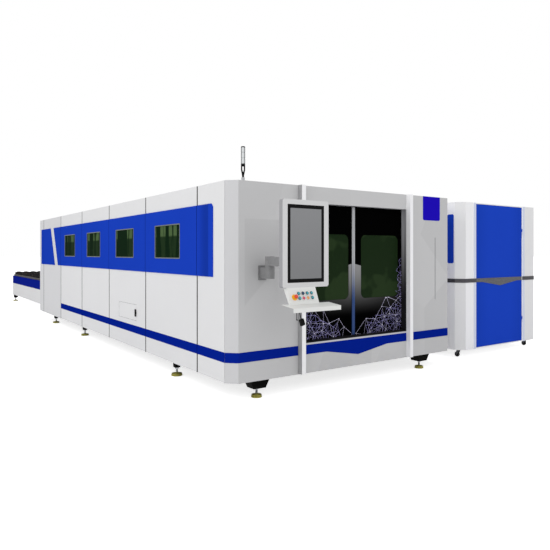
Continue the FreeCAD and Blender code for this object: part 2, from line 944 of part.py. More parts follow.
def corner_outline(sign, inset):
    """The bent line of a front corner cover, a given distance inside its outer skin."""
    chamfer = size("corner_chamfer")
    across = inset * math.sin(math.radians(45))
    fold = HALF_WIDTH - chamfer - inset * math.tan(math.radians(22.5))
    return [
        ((HALF_WIDTH - across) * sign, chamfer + across),
        (fold * sign, inset),
        ((PORTAL_HALF + SEAM / 2) * sign, inset),
    ]


def build_front_corner(name, sign):
    """A cover folded round the 45 degree corner, with its return flanges."""
    piece = Piece(name, 0, 0, size("body_bottom"))
    chamfer = size("corner_chamfer")
    flange = HALF_WIDTH - DEPTH
    shoulder = HALF_WIDTH - chamfer
    edge = PORTAL_HALF + SEAM / 2
    plan = piece.profile("XY")
    skin = corner_outline(sign, Size.of(0))
    plan.polygon([(flange * sign, chamfer)] + skin + [(edge * sign, DEPTH), (shoulder * sign, DEPTH)])
    piece.pad(plan, BODY_HEIGHT)
    behind = chamfer - GAUGE
    slant = HALF_WIDTH - GAUGE * (math.sqrt(2) + 1)
    fold = corner_outline(sign, GAUGE)[1]
    hollow = piece.profile("XY", GAUGE)
    hollow.polygon([
        ((flange - GAUGE) * sign, behind),
        (slant * sign, behind),
        fold,
        ((edge + GAUGE) * sign, GAUGE),
        ((edge + GAUGE) * sign, DEPTH + GAUGE),
        (shoulder * sign, DEPTH + GAUGE),
    ])
    piece.pocket(hollow, BODY_HEIGHT - GAUGE * 2)
    if sign > 0:
        groove = piece.profile("XZ")
        groove.rounded(
            size("groove_offset") - size("groove_width") / 2,
            size("groove_bottom") - size("body_bottom"),
            size("groove_width"),
            size("groove_height"),
            size("groove_width") * 0.45,
        )
        piece.pocket(groove, size("groove_depth"))
    piece.node()


def build_portal():
    """The welded front frame round the doors, hollow behind its header and sill."""
    piece = Piece("front_portal", 0, 0, size("body_bottom"))
    bottom = size("opening_bottom") - size("body_bottom")
    top = size("opening_top") - size("body_bottom")
    face = piece.profile("XZ")
    face.rectangle(-PORTAL_HALF, 0, PORTAL_HALF * 2, BODY_HEIGHT)
    piece.pad(face, DEPTH)
    opening = piece.profile("XZ")
    opening.rectangle(-OPENING_HALF - GAUGE, bottom, (OPENING_HALF + GAUGE) * 2, top + GAUGE - bottom)
    piece.pocket(opening, DEPTH)
    back = piece.profile("XZ", GAUGE)
    inner = PORTAL_HALF - GAUGE
    back.rectangle(-inner, GAUGE, inner * 2, bottom - GAUGE * 2)
    back.rectangle(-inner, top + GAUGE * 2, inner * 2, BODY_HEIGHT - top - GAUGE * 3)
    piece.pocket(back, DEPTH - GAUGE)
    ledge = piece.profile("XZ", DEPTH)
    seat = size("cross_beam_height")
    ledge.rectangle(-OPENING_HALF, seat, OPENING_HALF * 2, bottom - seat)
    piece.pad(ledge, size("liner_depth") - DEPTH)
    piece.node()


def build_door_liner():
    """The black lining of the opening, in one piece with the top track of the leaves."""
    bottom, top = size("opening_bottom"), size("opening_top")
    piece = Piece("door_liner")
    lining = piece.profile("XZ", 0.5)
    outer = OPENING_HALF + GAUGE
    lining.polygon([
        (-outer, bottom),
        (-OPENING_HALF, bottom),
        (-OPENING_HALF, top),
        (OPENING_HALF, top),
        (OPENING_HALF, bottom),
        (outer, bottom),
        (outer, top + GAUGE),
        (-outer, top + GAUGE),
    ])
    piece.pad(lining, size("liner_depth") - 0.5)
    track_bottom = top + size("leaf_overlap")
    web = piece.profile("XZ", size("liner_depth") - GAUGE)
    web.rectangle(-OPENING_HALF, top, OPENING_HALF * 2, track_bottom + size("track_height") - top)
    piece.pad(web, GAUGE)
    track = piece.profile("XZ", size("liner_depth"))
    track.rectangle(-size("track_reach"), track_bottom, size("track_reach") * 2, size("track_height"))
    piece.pad(track, size("track_depth"))
    piece.node()


def build_fins():
    piece = Piece("door_fins", 0, 0, size("fin_bottom"))
    height = size("body_top") - size("fin_bottom")
    depth = size("fin_depth")
    plan = piece.profile("XY")
    plan.rectangle(OPENING_HALF, -depth, size("fin_width"), depth)
    piece.pad(plan, height)
    hollow = piece.profile("XY", GAUGE)
    width = size("fin_width") - GAUGE * 2
    hollow.rectangle(OPENING_HALF + GAUGE, -depth + GAUGE, width, depth)
    piece.pocket(hollow, height - GAUGE * 2)
    piece.mirror()
    piece.node()


def build_roof():
    """Trays laid between the walls; the first one follows the cut corners."""
    count = int(size("roof_panel_count").value)
    pitch = (LENGTH - DEPTH * 2) / size("roof_panel_count")
    cut = size("corner_chamfer") + DEPTH * math.tan(math.radians(22.5)) - DEPTH
    panels = []
    for number in range(count):
        piece = Piece(f"roof_panel_{number}", 0, DEPTH + pitch * number, size("body_top") - DEPTH)
        for inset, at in ((Size.of(0), 0), (GAUGE, 0)):
            half, low, high = BEAM_OUTER - inset, inset + SEAM / 2 * (number > 0), pitch - inset
            outline = [(-half, high), (half, high)]
            if number == 0:
                outline += [(half, cut), (half - cut, low), (-half + cut, low), (-half, cut)]
            else:
                outline += [(half, low), (-half, low)]
            plan = piece.profile("XY", at).polygon(outline)
            if inset.value:
                piece.pocket(plan, DEPTH - GAUGE)
            else:
                piece.pad(plan, DEPTH)
        panels.append(piece)
    group("roof_panels", panels)


def build_rear_wall():
    piece = Piece("rear_wall", 0, LENGTH - DEPTH, size("body_bottom"))
    base = size("body_bottom")
    face = piece.profile("XZ").rectangle(-BEAM_OUTER, 0, BEAM_OUTER * 2, BODY_HEIGHT)
    piece.pad(face, DEPTH)
    half = BEAM_INNER - size("passage_side_margin")
    low, high = size("passage_bottom") - base, size("passage_top") - base
    passage = piece.profile("XZ").rectangle(-half, low, half * 2, high - low)
    piece.pocket(passage, DEPTH)
    inner = BEAM_OUTER - GAUGE
    back = piece.profile("XZ")
    back.rectangle(-inner, GAUGE, inner * 2, low - GAUGE - 60)
    back.rectangle(-inner, high + 60, inner * 2, BODY_HEIGHT - high - 60 - GAUGE)
    piece.pocket(back, DEPTH - GAUGE)
    piece.node()

    overlap = size("shutter_overlap")
    thick = size("shutter_thickness")
    height = size("passage_top") - size("passage_bottom") + overlap * 2
    lift = size("passage_top") + overlap
    shutter = Piece("rear_shutter", 0, LENGTH - DEPTH - RUN - thick, lift)
    plate = shutter.profile("XZ").rectangle(-half - overlap, 0, (half + overlap) * 2, height)
    shutter.pad(plate, thick)
    ribs = shutter.profile("XZ", 0)
    ribs.rectangle(-half + 30, 30, half * 2 - 60, height / 2 - 45)
    ribs.rectangle(-half + 30, height / 2 + 15, half * 2 - 60, height / 2 - 45)
    shutter.pocket(ribs, thick - GAUGE)
    shutter.node()


# --------------------------------------------------------------------------- blue covers and windows


def band_piece(side, name, points, window=None):
    """One blue plate of a side band, with the window's cut-out where it has one."""
    left = side == "left"
    x = -HALF_WIDTH - size("band_thickness") if left else HALF_WIDTH
    piece = Piece(name, x)
    piece.pad(piece.profile("YZ").polygon(points), size("band_thickness"))
    if window is not None and left:
        cut = piece.profile("YZ")
        cut.rounded(
            window,
            size("side_window_bottom"),
            size("side_window_width"),
            size("side_window_height"),
            size("side_window_corner"),
        )
        piece.pocket(cut, size("band_thickness"))
    return piece


def side_band(side):
    """The band's plates, one a panel, with the slanted gap across the blank panel."""
    low, high = size("band_bottom"), size("band_bottom") + size("band_height")
    modules = module_starts()
    last = len(modules) - 1
    corner = size("band_corner")
    plates = []
    for number, (start, width) in enumerate(modules):
        begin = size("band_start") if number == 0 else start + SEAM / 2
        end = LENGTH - size("band_end_margin") if number == last else start + width - SEAM / 2
        name = f"{side}_band_{number}"
        if number == 0:
            points = [(begin, low), (end, low), (end, high), (begin + corner, high), (begin, high - corner)]
            plates.append(band_piece(side, name, points))
        elif number == last - 1:
            slash, lean = start + size("slash_inset"), size("slash_lean")
            gap = size("slash_width")
            front = [(begin, low), (slash, low), (slash + lean, high), (begin, high)]
            rear = [(slash + gap, low), (end, low), (end, high), (slash + gap + lean, high)]
            plates.append(band_piece(side, f"{name}_front", front))
            plates.append(band_piece(side, f"{name}_rear", rear))
        else:
            points = [(begin, low), (end, low), (end, high), (begin, high)]
            window = window_start(start, width) if is_window_module(number) else None
            plates.append(band_piece(side, name, points, window))
    return plates


def side_stripe(side):
    """The low stripe along the side, as far as the last windowed panel."""
    thick = size("stripe_thickness")
    x = -HALF_WIDTH - thick if side == "left" else HALF_WIDTH
    strips = []
    for number, (start, width) in enumerate(module_starts()[:-2]):
        piece = Piece(f"{side}_stripe_{number}", x)
        face = piece.profile("YZ")
        face.rectangle(start + SEAM / 2, size("stripe_bottom"), width - SEAM, size("stripe_height"))
        piece.pad(face, thick)
        strips.append(piece)
    return strips


def corner_stripe(side, sign):
    """The stripe folded round a front corner."""
    piece = Piece(f"{side}_corner_stripe", 0, 0, size("stripe_bottom"))
    inner = corner_outline(sign, Size.of(0))
    outer = corner_outline(sign, -size("stripe_thickness"))
    piece.pad(piece.profile("XY").polygon(inner + outer[::-1]), size("stripe_height"))
    return piece


def front_stripe():
    """The stripe under the doors, which dips to a point in the middle."""
    piece = Piece("front_stripe", 0, -size("stripe_thickness"))
    low, high = size("stripe_bottom"), size("stripe_bottom") + size("stripe_height")
    vee = size("vee_half_width")
    face = piece.profile("XZ")
    face.polygon([
        (-OPENING_HALF, low),
        (-vee, low),
        (0, low - size("vee_drop")),
        (vee, low),
        (OPENING_HALF, low),
        (OPENING_HALF, high),
        (-OPENING_HALF, high),
    ])
    piece.pad(face, size("stripe_thickness"))
    return piece


def corner_block():
    """The blue block at the top of the right front cover, with round lower corners."""
    piece = Piece("corner_block", size("corner_block_offset"), -size("stripe_thickness"))
    width, height = size("corner_block_width"), size("corner_block_height")
    corner, top = size("corner_block_corner"), size("body_top")
    face = piece.profile("XZ").rounded(0, top - height, width, height, corner)
    piece.pad(face, size("stripe_thickness"))
    upper = piece.profile("XZ").rectangle(0, top - height / 2, width, height / 2)
    piece.pad(upper, size("stripe_thickness"))
    return piece


def cabinet_strip():
    """The rounded blue strip on the cabinet's side."""
    thick = size("cabinet_strip_thickness")
    piece = Piece("cabinet_strip", CABINET_LEFT - thick, size("cabinet_front"))
    face = piece.profile("YZ")
    face.rounded(
        size("cabinet_strip_start"),
        size("cabinet_strip_bottom"),
        size("cabinet_strip_width"),
        size("cabinet_strip_height"),
        size("corner_block_corner"),
    )
    piece.pad(face, thick)
    return piece


def build_blue_trim():
    plates = side_band("left") + side_band("right")
    plates += side_stripe("left") + side_stripe("right")
    plates += [corner_stripe("left", -1), corner_stripe("right", 1)]
    plates += [front_stripe(), corner_block(), cabinet_strip()]
    group("blue_trim", plates)


def build_side_windows():
    frames, panes = [], []
    rim = size("window_frame_width")
    width, height = size("side_window_width"), size("side_window_height")
    low, corner = size("side_window_bottom"), size("side_window_corner")
    proud = size("band_thickness") + size("window_frame_proud")
    for number, (start, module_width) in enumerate(module_starts()):
        if not is_window_module(number):
            continue
        y = window_start(start, module_width)
        frame = Piece(f"window_frame_{number}", -HALF_WIDTH - proud)
        ring = frame.profile("YZ").rounded(y, low, width, height, corner)
        frame.pad(ring, proud)
        hole = frame.profile("YZ")
        hole.rounded(y + rim, low + rim, width - rim * 2, height - rim * 2, corner / 2)
        frame.pocket(hole, proud)
        frames.append(frame)
        pane = Piece(f"window_pane_{number}", -HALF_WIDTH)
        slack = RUN / 2
        sheet = pane.profile("YZ")
        sheet.rounded(y + slack, low + slack, width - slack * 2, height - slack * 2, corner)
        pane.pad(sheet, size("side_pane_thickness"))
        panes.append(pane)
    group("window_frames", frames)
    group("window_panes", panes)


# --------------------------------------------------------------------------- sliding doors


def build_leaf(side, start):
    """A black sliding leaf with its dark pane; both leaves are alike."""
    front = size("liner_depth") + size("leaf_gap")
    bottom = size("body_bottom") + size("cross_beam_height") + RUN * 10
    top = size("opening_top") + size("leaf_overlap") - RUN
    leaf = Piece(f"{side}_door_leaf", start, front)
    face = leaf.profile("XZ").rectangle(0, bottom, size("leaf_width"), top - bottom)
    leaf.pad(face, size("leaf_thickness"))
    width, height = size("leaf_window_width"), size("leaf_window_height")
    offset, sill = size("leaf_window_offset"), size("leaf_window_bottom")
    corner = size("leaf_window_corner")
    window = leaf.profile("XZ").rounded(offset, sill, width, height, corner)
    leaf.pocket(window, size("leaf_thickness"))
    leaf.node()
    pane = Piece(f"{side}_door_pane", start, front + size("leaf_pane_thickness"))
    slack = RUN / 2
    sheet = pane.profile("XZ")
    sheet.rounded(offset + slack, sill + slack, width - slack * 2, height - slack * 2, corner - slack)
    pane.pad(sheet, size("leaf_pane_thickness"))
    pane.node()


def build_doors():
    build_leaf("left", -size("leaf_width") - 1)
    build_leaf("right", Size.of(1))
    bar_width, bar_depth = size("edge_bar_width"), size("edge_bar_depth")
    face = size("liner_depth") + size("leaf_gap")
    bar = Piece("door_edge_bar", 0, face - RUN - bar_depth)
    low = size("opening_bottom") + size("leaf_gap") * 2
    high = size("opening_top") - size("leaf_gap") * 2
    bar.pad(bar.profile("XZ").rectangle(-bar_width / 2, low, bar_width, high - low), bar_depth)
    bar.node()


# --------------------------------------------------------------------------- gantry and pallets


def build_gantry():
    piece = Piece("gantry", 0, size("gantry_rest_y"))
    bottom, height = size("gantry_bottom"), size("gantry_height")
    depth, wall = size("gantry_depth"), size("gantry_wall")
    half = size("gantry_half_length")
    rail = size("cross_rail_size")
    beam = piece.profile("YZ", -half)
    beam.polygon([
        (0, bottom),
        (depth, bottom),
        (depth, bottom + height * 0.7),
        (depth * 0.7, bottom + height),
        (0, bottom + height),
    ])
    beam.rectangle(wall, bottom + wall, depth * 0.7 - wall * 2, height - wall * 2)
    piece.pad(beam, half * 2)
    for level in (0.25, 0.75):
        guide = piece.profile("YZ", -half)
        guide.rectangle(-rail, bottom + height * level - rail / 2, rail, rail)
        piece.pad(guide, half * 2)
    cross = list(piece.features)
    truck_start = depth / 2 - size("truck_length") / 2
    truck = piece.profile("XZ", truck_start)
    rail_top = size("bed_beam_top") + size("rail_height")
    half_rail = size("rail_width") / 2 + RUN
    cheek = size("rack_gap") - RUN * 10
    plate_low = rail_top + 6
    inner = RAIL_X - size("truck_inner_offset")
    outer = RAIL_X + size("bed_beam_width") / 2 - DEPTH / 2
    truck.polygon([
        (RAIL_X - half_rail - 30, rail_top - 22),
        (RAIL_X - half_rail, rail_top - 22),
        (RAIL_X - half_rail, rail_top + RUN),
        (RAIL_X + half_rail, rail_top + RUN),
        (RAIL_X + half_rail, rail_top - 22),
        (RAIL_X + half_rail + cheek, rail_top - 22),
        (RAIL_X + half_rail + cheek, plate_low),
        (outer, plate_low),
        (outer, bottom + 20),
        (inner, bottom + 20),
        (inner, plate_low),
        (RAIL_X - half_rail - 30, plate_low),
    ])
    piece.pad(truck, size("truck_length"))
    motor = piece.profile("XY", bottom)
    motor.rectangle(RAIL_X - 40, depth - 20, 110, 120)
    piece.pad(motor, height * 0.75)
    piece.mirror([feature for feature in piece.features if feature not in cross])
    piece.node()


def build_carriage():
    """The plate that runs along the gantry and the head that rises and falls on it."""
    rail = size("cross_rail_size")
    width, thick = size("carriage_width"), size("carriage_thickness")
    bottom = size("gantry_bottom") + (size("gantry_height") - size("carriage_height")) / 2
    face = size("gantry_rest_y") - rail - RUN - thick
    carriage = Piece("carriage", 0, face)
    plate = carriage.profile("XZ").rectangle(-width / 2, bottom, width, size("carriage_height"))
    carriage.pad(plate, thick)
    lip_top = size("gantry_bottom") + size("gantry_height") + RUN * 10
    lip = carriage.profile("XZ").rectangle(-width / 4, bottom, width / 2, lip_top + 20 - bottom)
    carriage.pad(lip, thick)
    motor = carriage.profile("XZ", 0).rectangle(-width / 4, lip_top, width / 2, 90)
    carriage.pad(motor, thick + 110)
    carriage.node()

    plate_thick = size("head_plate_thickness")
    head = Piece("cutting_head", 0, face - RUN - plate_thick)
    plate_width = size("head_plate_width")
    slide = head.profile("XZ")
    slide.rectangle(-plate_width / 2, bottom + 20, plate_width, size("head_plate_height"))
    head.pad(slide, plate_thick)
    radius, tip = size("head_radius"), size("nozzle_tip_height")
    top = tip + size("head_length")
    bracket = head.profile("XZ", -radius).rectangle(-radius * 0.6, tip + 110, radius * 1.2, 150)
    head.pad(bracket, radius)
    axis = -radius - 6
    barrel = head.profile("XY", tip + 90).circle(0, axis, radius)
    head.pad(barrel, top - tip - 90)
    shoulder = head.profile("XY", tip + 40).circle(0, axis, radius * 0.62)
    head.pad(shoulder, 50)
    cone_low = head.profile("XY", tip).circle(0, axis, radius * 0.12)
    cone_high = head.profile("XY", tip + 40).circle(0, axis, radius * 0.5)
    head.loft(cone_low, cone_high)
    head.node()


def build_pallet(name, y, ledge_top):
    """A welded frame with rows of toothed slats standing on it."""
    piece = Piece(name, 0, y, ledge_top + RUN)
    rail, height = size("pallet_rail_width"), size("pallet_rail_height")
    length = size("pallet_length")
    frame = piece.profile("XY")
    frame.rectangle(-PALLET_HALF, 0, PALLET_HALF * 2, length)
    inner = PALLET_HALF - rail
    middle = rail / 2
    gap = (length - rail * 3) / 2
    for x in (-inner, middle):
        for number in range(2):
            frame.rectangle(x, rail + (gap + rail) * number, inner - middle, gap)
    piece.pad(frame, height)
    teeth = int(size("slat_tooth_count").value)
    half = PALLET_HALF - rail / 4
    pitch = half * 2 / teeth
    low = height - 12
    top = height + size("slat_height")
    valley = top - size("slat_tooth_height")
    outline = [(half, low), (-half, low), (-half, valley)]
    for number in range(teeth):
        outline.append((pitch * (number + 0.35) - half, top))
        outline.append((pitch * (number + 0.65) - half, top))
        outline.append((pitch * (number + 1) - half, valley))
    first = rail / 2
    count = int((length.value - rail.value) / size("slat_pitch").value) + 1
    slat = piece.profile("XZ", first).polygon(outline)
    piece.pad(slat, size("slat_thickness"))
    piece.repeat("Y", size("slat_pitch") * (count - 1), Size.of(count))
    piece.node()


# --------------------------------------------------------------------------- exchange table


def build_exchange_frame():
    """Two side plates with the pallet ledges, tied by tubes, on a pair of legs at the far end."""
    piece = Piece("exchange_frame", 0, LENGTH)
    outer = HALF_WIDTH - size("table_side_inset")
    bottom, top = size("table_beam_bottom"), size("table_beam_top")
    base, end = size("body_bottom"), size("table_end_thickness")
    plate = piece.profile("XZ")
    side_beam_outline(plate, outer - size("table_beam_wall"), outer, bottom, top)
    piece.pad(plate, TABLE_LENGTH - end)
    leg, weld = size("table_leg_size"), GAUGE * 5
    x, y = table_foot_places()[1]
    post = piece.profile("XY", base).rectangle(x - leg / 2, y - leg / 2, leg, leg)
    piece.pad(post, bottom + weld - base)
    foot = piece.profile("XY", base - size("foot_bracket_height"))
    foot.rectangle(x - leg * 0.4, y - leg * 0.4, leg * 0.8, leg * 0.8)
    head = piece.profile("XY", base).rectangle(x - leg, y - leg / 2, leg * 1.5, leg)
    piece.loft(foot, head)
    piece.mirror()
    tube = size("table_tube_size")
    section = piece.profile("YZ", -outer)
    section.rectangle(size("table_tube_start") - tube / 2, bottom + weld - tube, tube, tube)
    piece.pad(section, outer * 2)
    piece.repeat("Y", y - size("table_tube_start"), size("table_tube_count"))
    closing = piece.profile("XZ", TABLE_LENGTH - end)
    closing.rectangle(-outer, bottom, outer * 2, top - bottom)
    piece.pad(closing, end)
    piece.node()


def build_exchange_skirt():
    """White folded sheets round the foot of the exchange table."""
    outer = HALF_WIDTH - size("table_side_inset")
    low, high = size("body_bottom"), size("skirt_top")
    back = size("skirt_return")
    notch = size("table_leg_size") * 1.6
    sheets = []
    foot_y = TABLE_LENGTH - size("table_foot_margin")
    for side, sign in (("left", -1), ("right", 1)):
        piece = Piece(f"{side}_skirt", 0, LENGTH)
        section = piece.profile("XZ")
        section.polygon([
            ((outer - back) * sign, low),
            ((outer + GAUGE) * sign, low),
            ((outer + GAUGE) * sign, high),
            (outer * sign, high),
            (outer * sign, low + GAUGE),
            ((outer - back) * sign, low + GAUGE),
        ])
        piece.pad(section, TABLE_LENGTH - RUN)
        cut = piece.profile("XY", low)
        cut.rectangle(outer - back if sign > 0 else -outer, foot_y - notch / 2, back, notch)
        piece.pocket(cut, GAUGE)
        sheets.append(piece)
    rear = Piece("rear_skirt", 0, TABLE_END)
    face = rear.profile("YZ", -outer - GAUGE).rectangle(0, low, GAUGE, high - low)
    rear.pad(face, (outer + GAUGE) * 2)
    flange = rear.profile("YZ", back - outer + GAUGE).rectangle(-back, low, back + GAUGE, GAUGE)
    rear.pad(flange, (outer - back - GAUGE) * 2)
    sheets.append(rear)
    group("exchange_skirt", sheets)


# --------------------------------------------------------------------------- signal lamp


def build_signal_lamp():
    x, y = size("lamp_inset_x") - HALF_WIDTH, size("lamp_inset_y")
    radius = size("lamp_radius")
    post, loop = size("lamp_post_height"), size("lamp_loop_height")
    bracket = Piece("tower_bracket", x, y, size("body_top"))
    half = bracket.profile("XZ")
    half.polygon([
        (0, 0),
        (radius * 1.2, 0),
        (radius * 1.2, 4),
        (radius * 0.82, 4),
        (radius * 0.82, post * 0.63),
        (radius * 0.5, post * 0.7),
        (radius * 0.5, post),
        (0, post),
    ])
    bracket.revolve(half)
    web = bracket.profile("XZ", -radius * 0.35)
    web.polygon([
        (-radius * 0.3, post - 10),
        (radius * 0.3, post - 10),
        (radius * 0.95, post + loop * 0.45),
        (radius * 0.95, post + loop),
        (-radius * 0.95, post + loop),
        (-radius * 0.95, post + loop * 0.45),
    ])
    bracket.pad(web, radius * 0.7)
    eye = bracket.profile("XZ", -radius)
    eye.polygon([
        (0, post + loop * 0.14),
        (radius * 0.6, post + loop * 0.48),
        (radius * 0.6, post + loop * 0.78),
        (-radius * 0.6, post + loop * 0.78),
        (-radius * 0.6, post + loop * 0.48),
    ])
    bracket.pocket(eye, radius * 2)
    cap = bracket.profile("XY", post + loop - 16).circle(0, 0, radius)
    bracket.pad(cap, 16)
    bracket.node()

    lamp = Piece("tower_lamp", x, y, size("body_top") + post + loop)
    height = size("lamp_height")
    half = lamp.profile("XZ")
    outline = [(0, 0)]
    for number in range(3):
        low = height * number / 3
        high = height * (number + 1) / 3
        outline += [(radius - 2, low), (radius - 2, low + 3), (radius, low + 5), (radius, high - 3)]
    outline += [(radius * 0.8, height + 3), (0, height + 6)]
    half.polygon(outline)
    lamp.revolve(half)
    lamp.node()


# --------------------------------------------------------------------------- swing arm and console


def build_arm():
    """A wall bracket with an upright pin, and the beam that swings on it."""
    bottom, split, top = size("arm_bottom"), size("arm_split"), size("arm_top")
    knuckle, pin = size("arm_knuckle_radius"), size("arm_pin_radius")
    slack = size("arm_pin_clearance")
    out = size("arm_out_y")
    bracket = Piece("arm_bracket", ARM_X, -out)
    width, plate = size("arm_block_width"), size("arm_plate_thickness")
    wall_plate = bracket.profile("XZ", out - plate)
    plate_height = size("arm_plate_height")
    middle = (bottom + split) / 2
    wall_plate.rounded(-width * 0.7, middle - plate_height / 2, width * 1.4, plate_height, 12)
    bracket.pad(wall_plate, plate)
    block = bracket.profile("XY", bottom).rectangle(-width / 2, 0, width, out - plate)
    bracket.pad(block, split - bottom)
    drum = bracket.profile("XY", bottom).circle(0, 0, knuckle)
    bracket.pad(drum, split - bottom)
    post = bracket.profile("XY", split).circle(0, 0, pin)
    bracket.pad(post, (top - split) * 0.8)
    bracket.node()

    length, beam_width = size("arm_length"), size("arm_beam_width")
    beam_low = split + RUN + 20
    arm = Piece("arm_link", ARM_X, -out).turn((0, 0, -1), size("arm_angle"))
    drum = arm.profile("XY", split + RUN).circle(0, 0, knuckle)
    arm.pad(drum, top - split - RUN)
    beam = arm.profile("XY", beam_low).rectangle(-beam_width / 2, -length, beam_width, length)
    arm.pad(beam, top - 3 - beam_low)
    end = arm.profile("XY", beam_low).circle(0, -length, knuckle)
    arm.pad(end, top - 3 - beam_low)
    bore = arm.profile("XY", split + RUN).circle(0, 0, pin + slack)
    arm.pocket(bore, (top - split) * 0.8 + 1)
    sleeve = size("sleeve_height") + RUN * 2
    stud = arm.profile("XY", beam_low - sleeve).circle(0, -length, pin)
    arm.pad(stud, sleeve)
    head = arm.profile("XY", beam_low - sleeve - pin).circle(0, -length, pin * 1.8)
    arm.pad(head, pin)
    arm.node()


def console_slope():
    return arctangent(size("desk_slope_run"), size("desk_slope_rise"))


def build_console_housing():
    """The upright case, its recess for the screen, and the sleeve that hangs on the arm."""
    width, height = size("console_width"), size("console_height")
    bottom = size("console_bottom")
    housing = Piece("console_housing", WRIST_X, WRIST_Y)
    standoff, thick = size("console_standoff"), size("console_thickness")
    face = -standoff - thick
    case = housing.profile("XZ", face).rounded(-width / 2, bottom, width, height, size("console_corner"))
    housing.pad(case, thick)
    recess = housing.profile("XZ", face)
    bezel_width, bezel_height = size("bezel_width"), size("bezel_height")
    bezel_low = bottom + (height - bezel_height) / 2
    recess.rectangle(-bezel_width / 2, bezel_low, bezel_width, bezel_height)
    housing.pocket(recess, size("bezel_thickness"))
    sleeve_height = size("sleeve_height")
    sleeve_low = size("arm_split") + 20 - sleeve_height
    knuckle = size("arm_knuckle_radius")
    neck = housing.profile("XY", sleeve_low)
    neck.rectangle(-knuckle * 0.8, -standoff - 1, knuckle * 1.6, standoff + 1)
    housing.pad(neck, sleeve_height)
    sleeve = housing.profile("XY", sleeve_low).circle(0, 0, knuckle)
    housing.pad(sleeve, sleeve_height)
    bore = housing.profile("XY", sleeve_low)
    bore.circle(0, 0, size("arm_pin_radius") + size("arm_pin_clearance"))
    housing.pocket(bore, sleeve_height)
    housing.node()

    bezel = Piece("console_bezel", WRIST_X, WRIST_Y)
    frame = bezel.profile("XZ", face)
    frame.rectangle(-bezel_width / 2, bezel_low, bezel_width, bezel_height)
    screen_width, screen_height = size("screen_width"), size("screen_height")
    screen_low = bottom + (height - screen_height) / 2
    frame.rectangle(-screen_width / 2, screen_low, screen_width, screen_height)
    bezel.pad(frame, size("bezel_thickness"))
    bezel.node()

    screen = Piece("console_screen", WRIST_X, WRIST_Y)
    glass = screen.profile("XZ", face)
    glass.rectangle(-screen_width / 2, screen_low, screen_width, screen_height)
    screen.pad(glass, size("bezel_thickness"))
    screen.node()


def button_places():
    """Two rows of four: x from the wrist and distance up the slope."""
    places = []
    for row in range(2):
        for column in range(4):
            x = size("first_button_x") + size("button_spacing") * column - size("desk_left")
            places.append((x, size("first_button_up") + size("button_row_gap") * row))
    return places


def on_slope(name, x, up, out=0):
    """A piece whose own Z axis stands square on the sloped button panel."""
    slope = console_slope()
    sin_slope, cos_slope = sine(slope), cosine(slope)
    foot_y = CONSOLE_FACE - size("desk_slope_run")
    y = foot_y + up * sin_slope - Size.of(out) * cos_slope
    z = DESK_FOOT + up * cos_slope + Size.of(out) * sin_slope
    return Piece(name, WRIST_X + x, y, z).turn((1, 0, 0), 90 - slope)


def tray_level(front):
    """The height of the tray's top face, a distance in front of the console's face."""
    back = size("tray_front") - size("tray_depth")
    return DESK_FOOT - (front - back) * size("tray_drop") / size("tray_depth")


def build_desk():
    """The sloped button panel, the keyboard tray below it and the small hook, folded and welded."""
    desk = Piece("console_desk", WRIST_X, CONSOLE_FACE)
    run, top = size("desk_slope_run"), size("console_bottom")
    weld = GAUGE * 2
    side = desk.profile("YZ", -size("desk_left"))
    side.polygon([
        (-run, DESK_FOOT - weld),
        (18 - run, DESK_FOOT - weld),
        (size("console_thickness") - 3, top),
        (0, top),
        (-run, DESK_FOOT),
    ])
    desk.pad(side, size("desk_width"))
    front, back = size("tray_front"), size("tray_front") - size("tray_depth")
    low = DESK_FOOT - size("tray_drop")
    tray = desk.profile("YZ", -size("tray_left"))
    tray.polygon([
        (-back, DESK_FOOT),
        (-front, low),
        (-front, low - size("tray_lip")),
        (GAUGE - front, low - size("tray_lip")),
        (GAUGE - front, low - GAUGE),
        (-back, DESK_FOOT - GAUGE),
    ])
    desk.pad(tray, size("tray_width"))
    collars = desk.sloped_profile(console_slope(), -run, DESK_FOOT)
    for x, up in button_places():
        collars.circle(x, up, size("button_radius") + size("collar_wall"))
        collars.circle(x, up, size("button_radius") + RUN * 2)
    desk.pad_out(collars, size("collar_height"))
    lead_x, lead_y = size("lead_x") - size("tray_left"), size("lead_y") - front
    seat, radius = tray_level(-lead_y), size("lead_radius")
    gland = desk.profile("XY", seat - GAUGE - size("gland_height")).circle(lead_x, lead_y, radius * 1.8)
    desk.pad(gland, size("gland_height") + GAUGE / 2)
    hook_x, toe_z = lead_x - size("hook_offset"), seat - size("hook_length")
    hook = desk.profile("XY", toe_z).circle(hook_x, lead_y, radius * 0.7)
    desk.pad(hook, size("hook_length") - GAUGE / 2)
    toe = desk.profile("XZ", lead_y - 12).circle(hook_x, toe_z, radius * 0.9)
    desk.pad(toe, 16)
    desk.node()


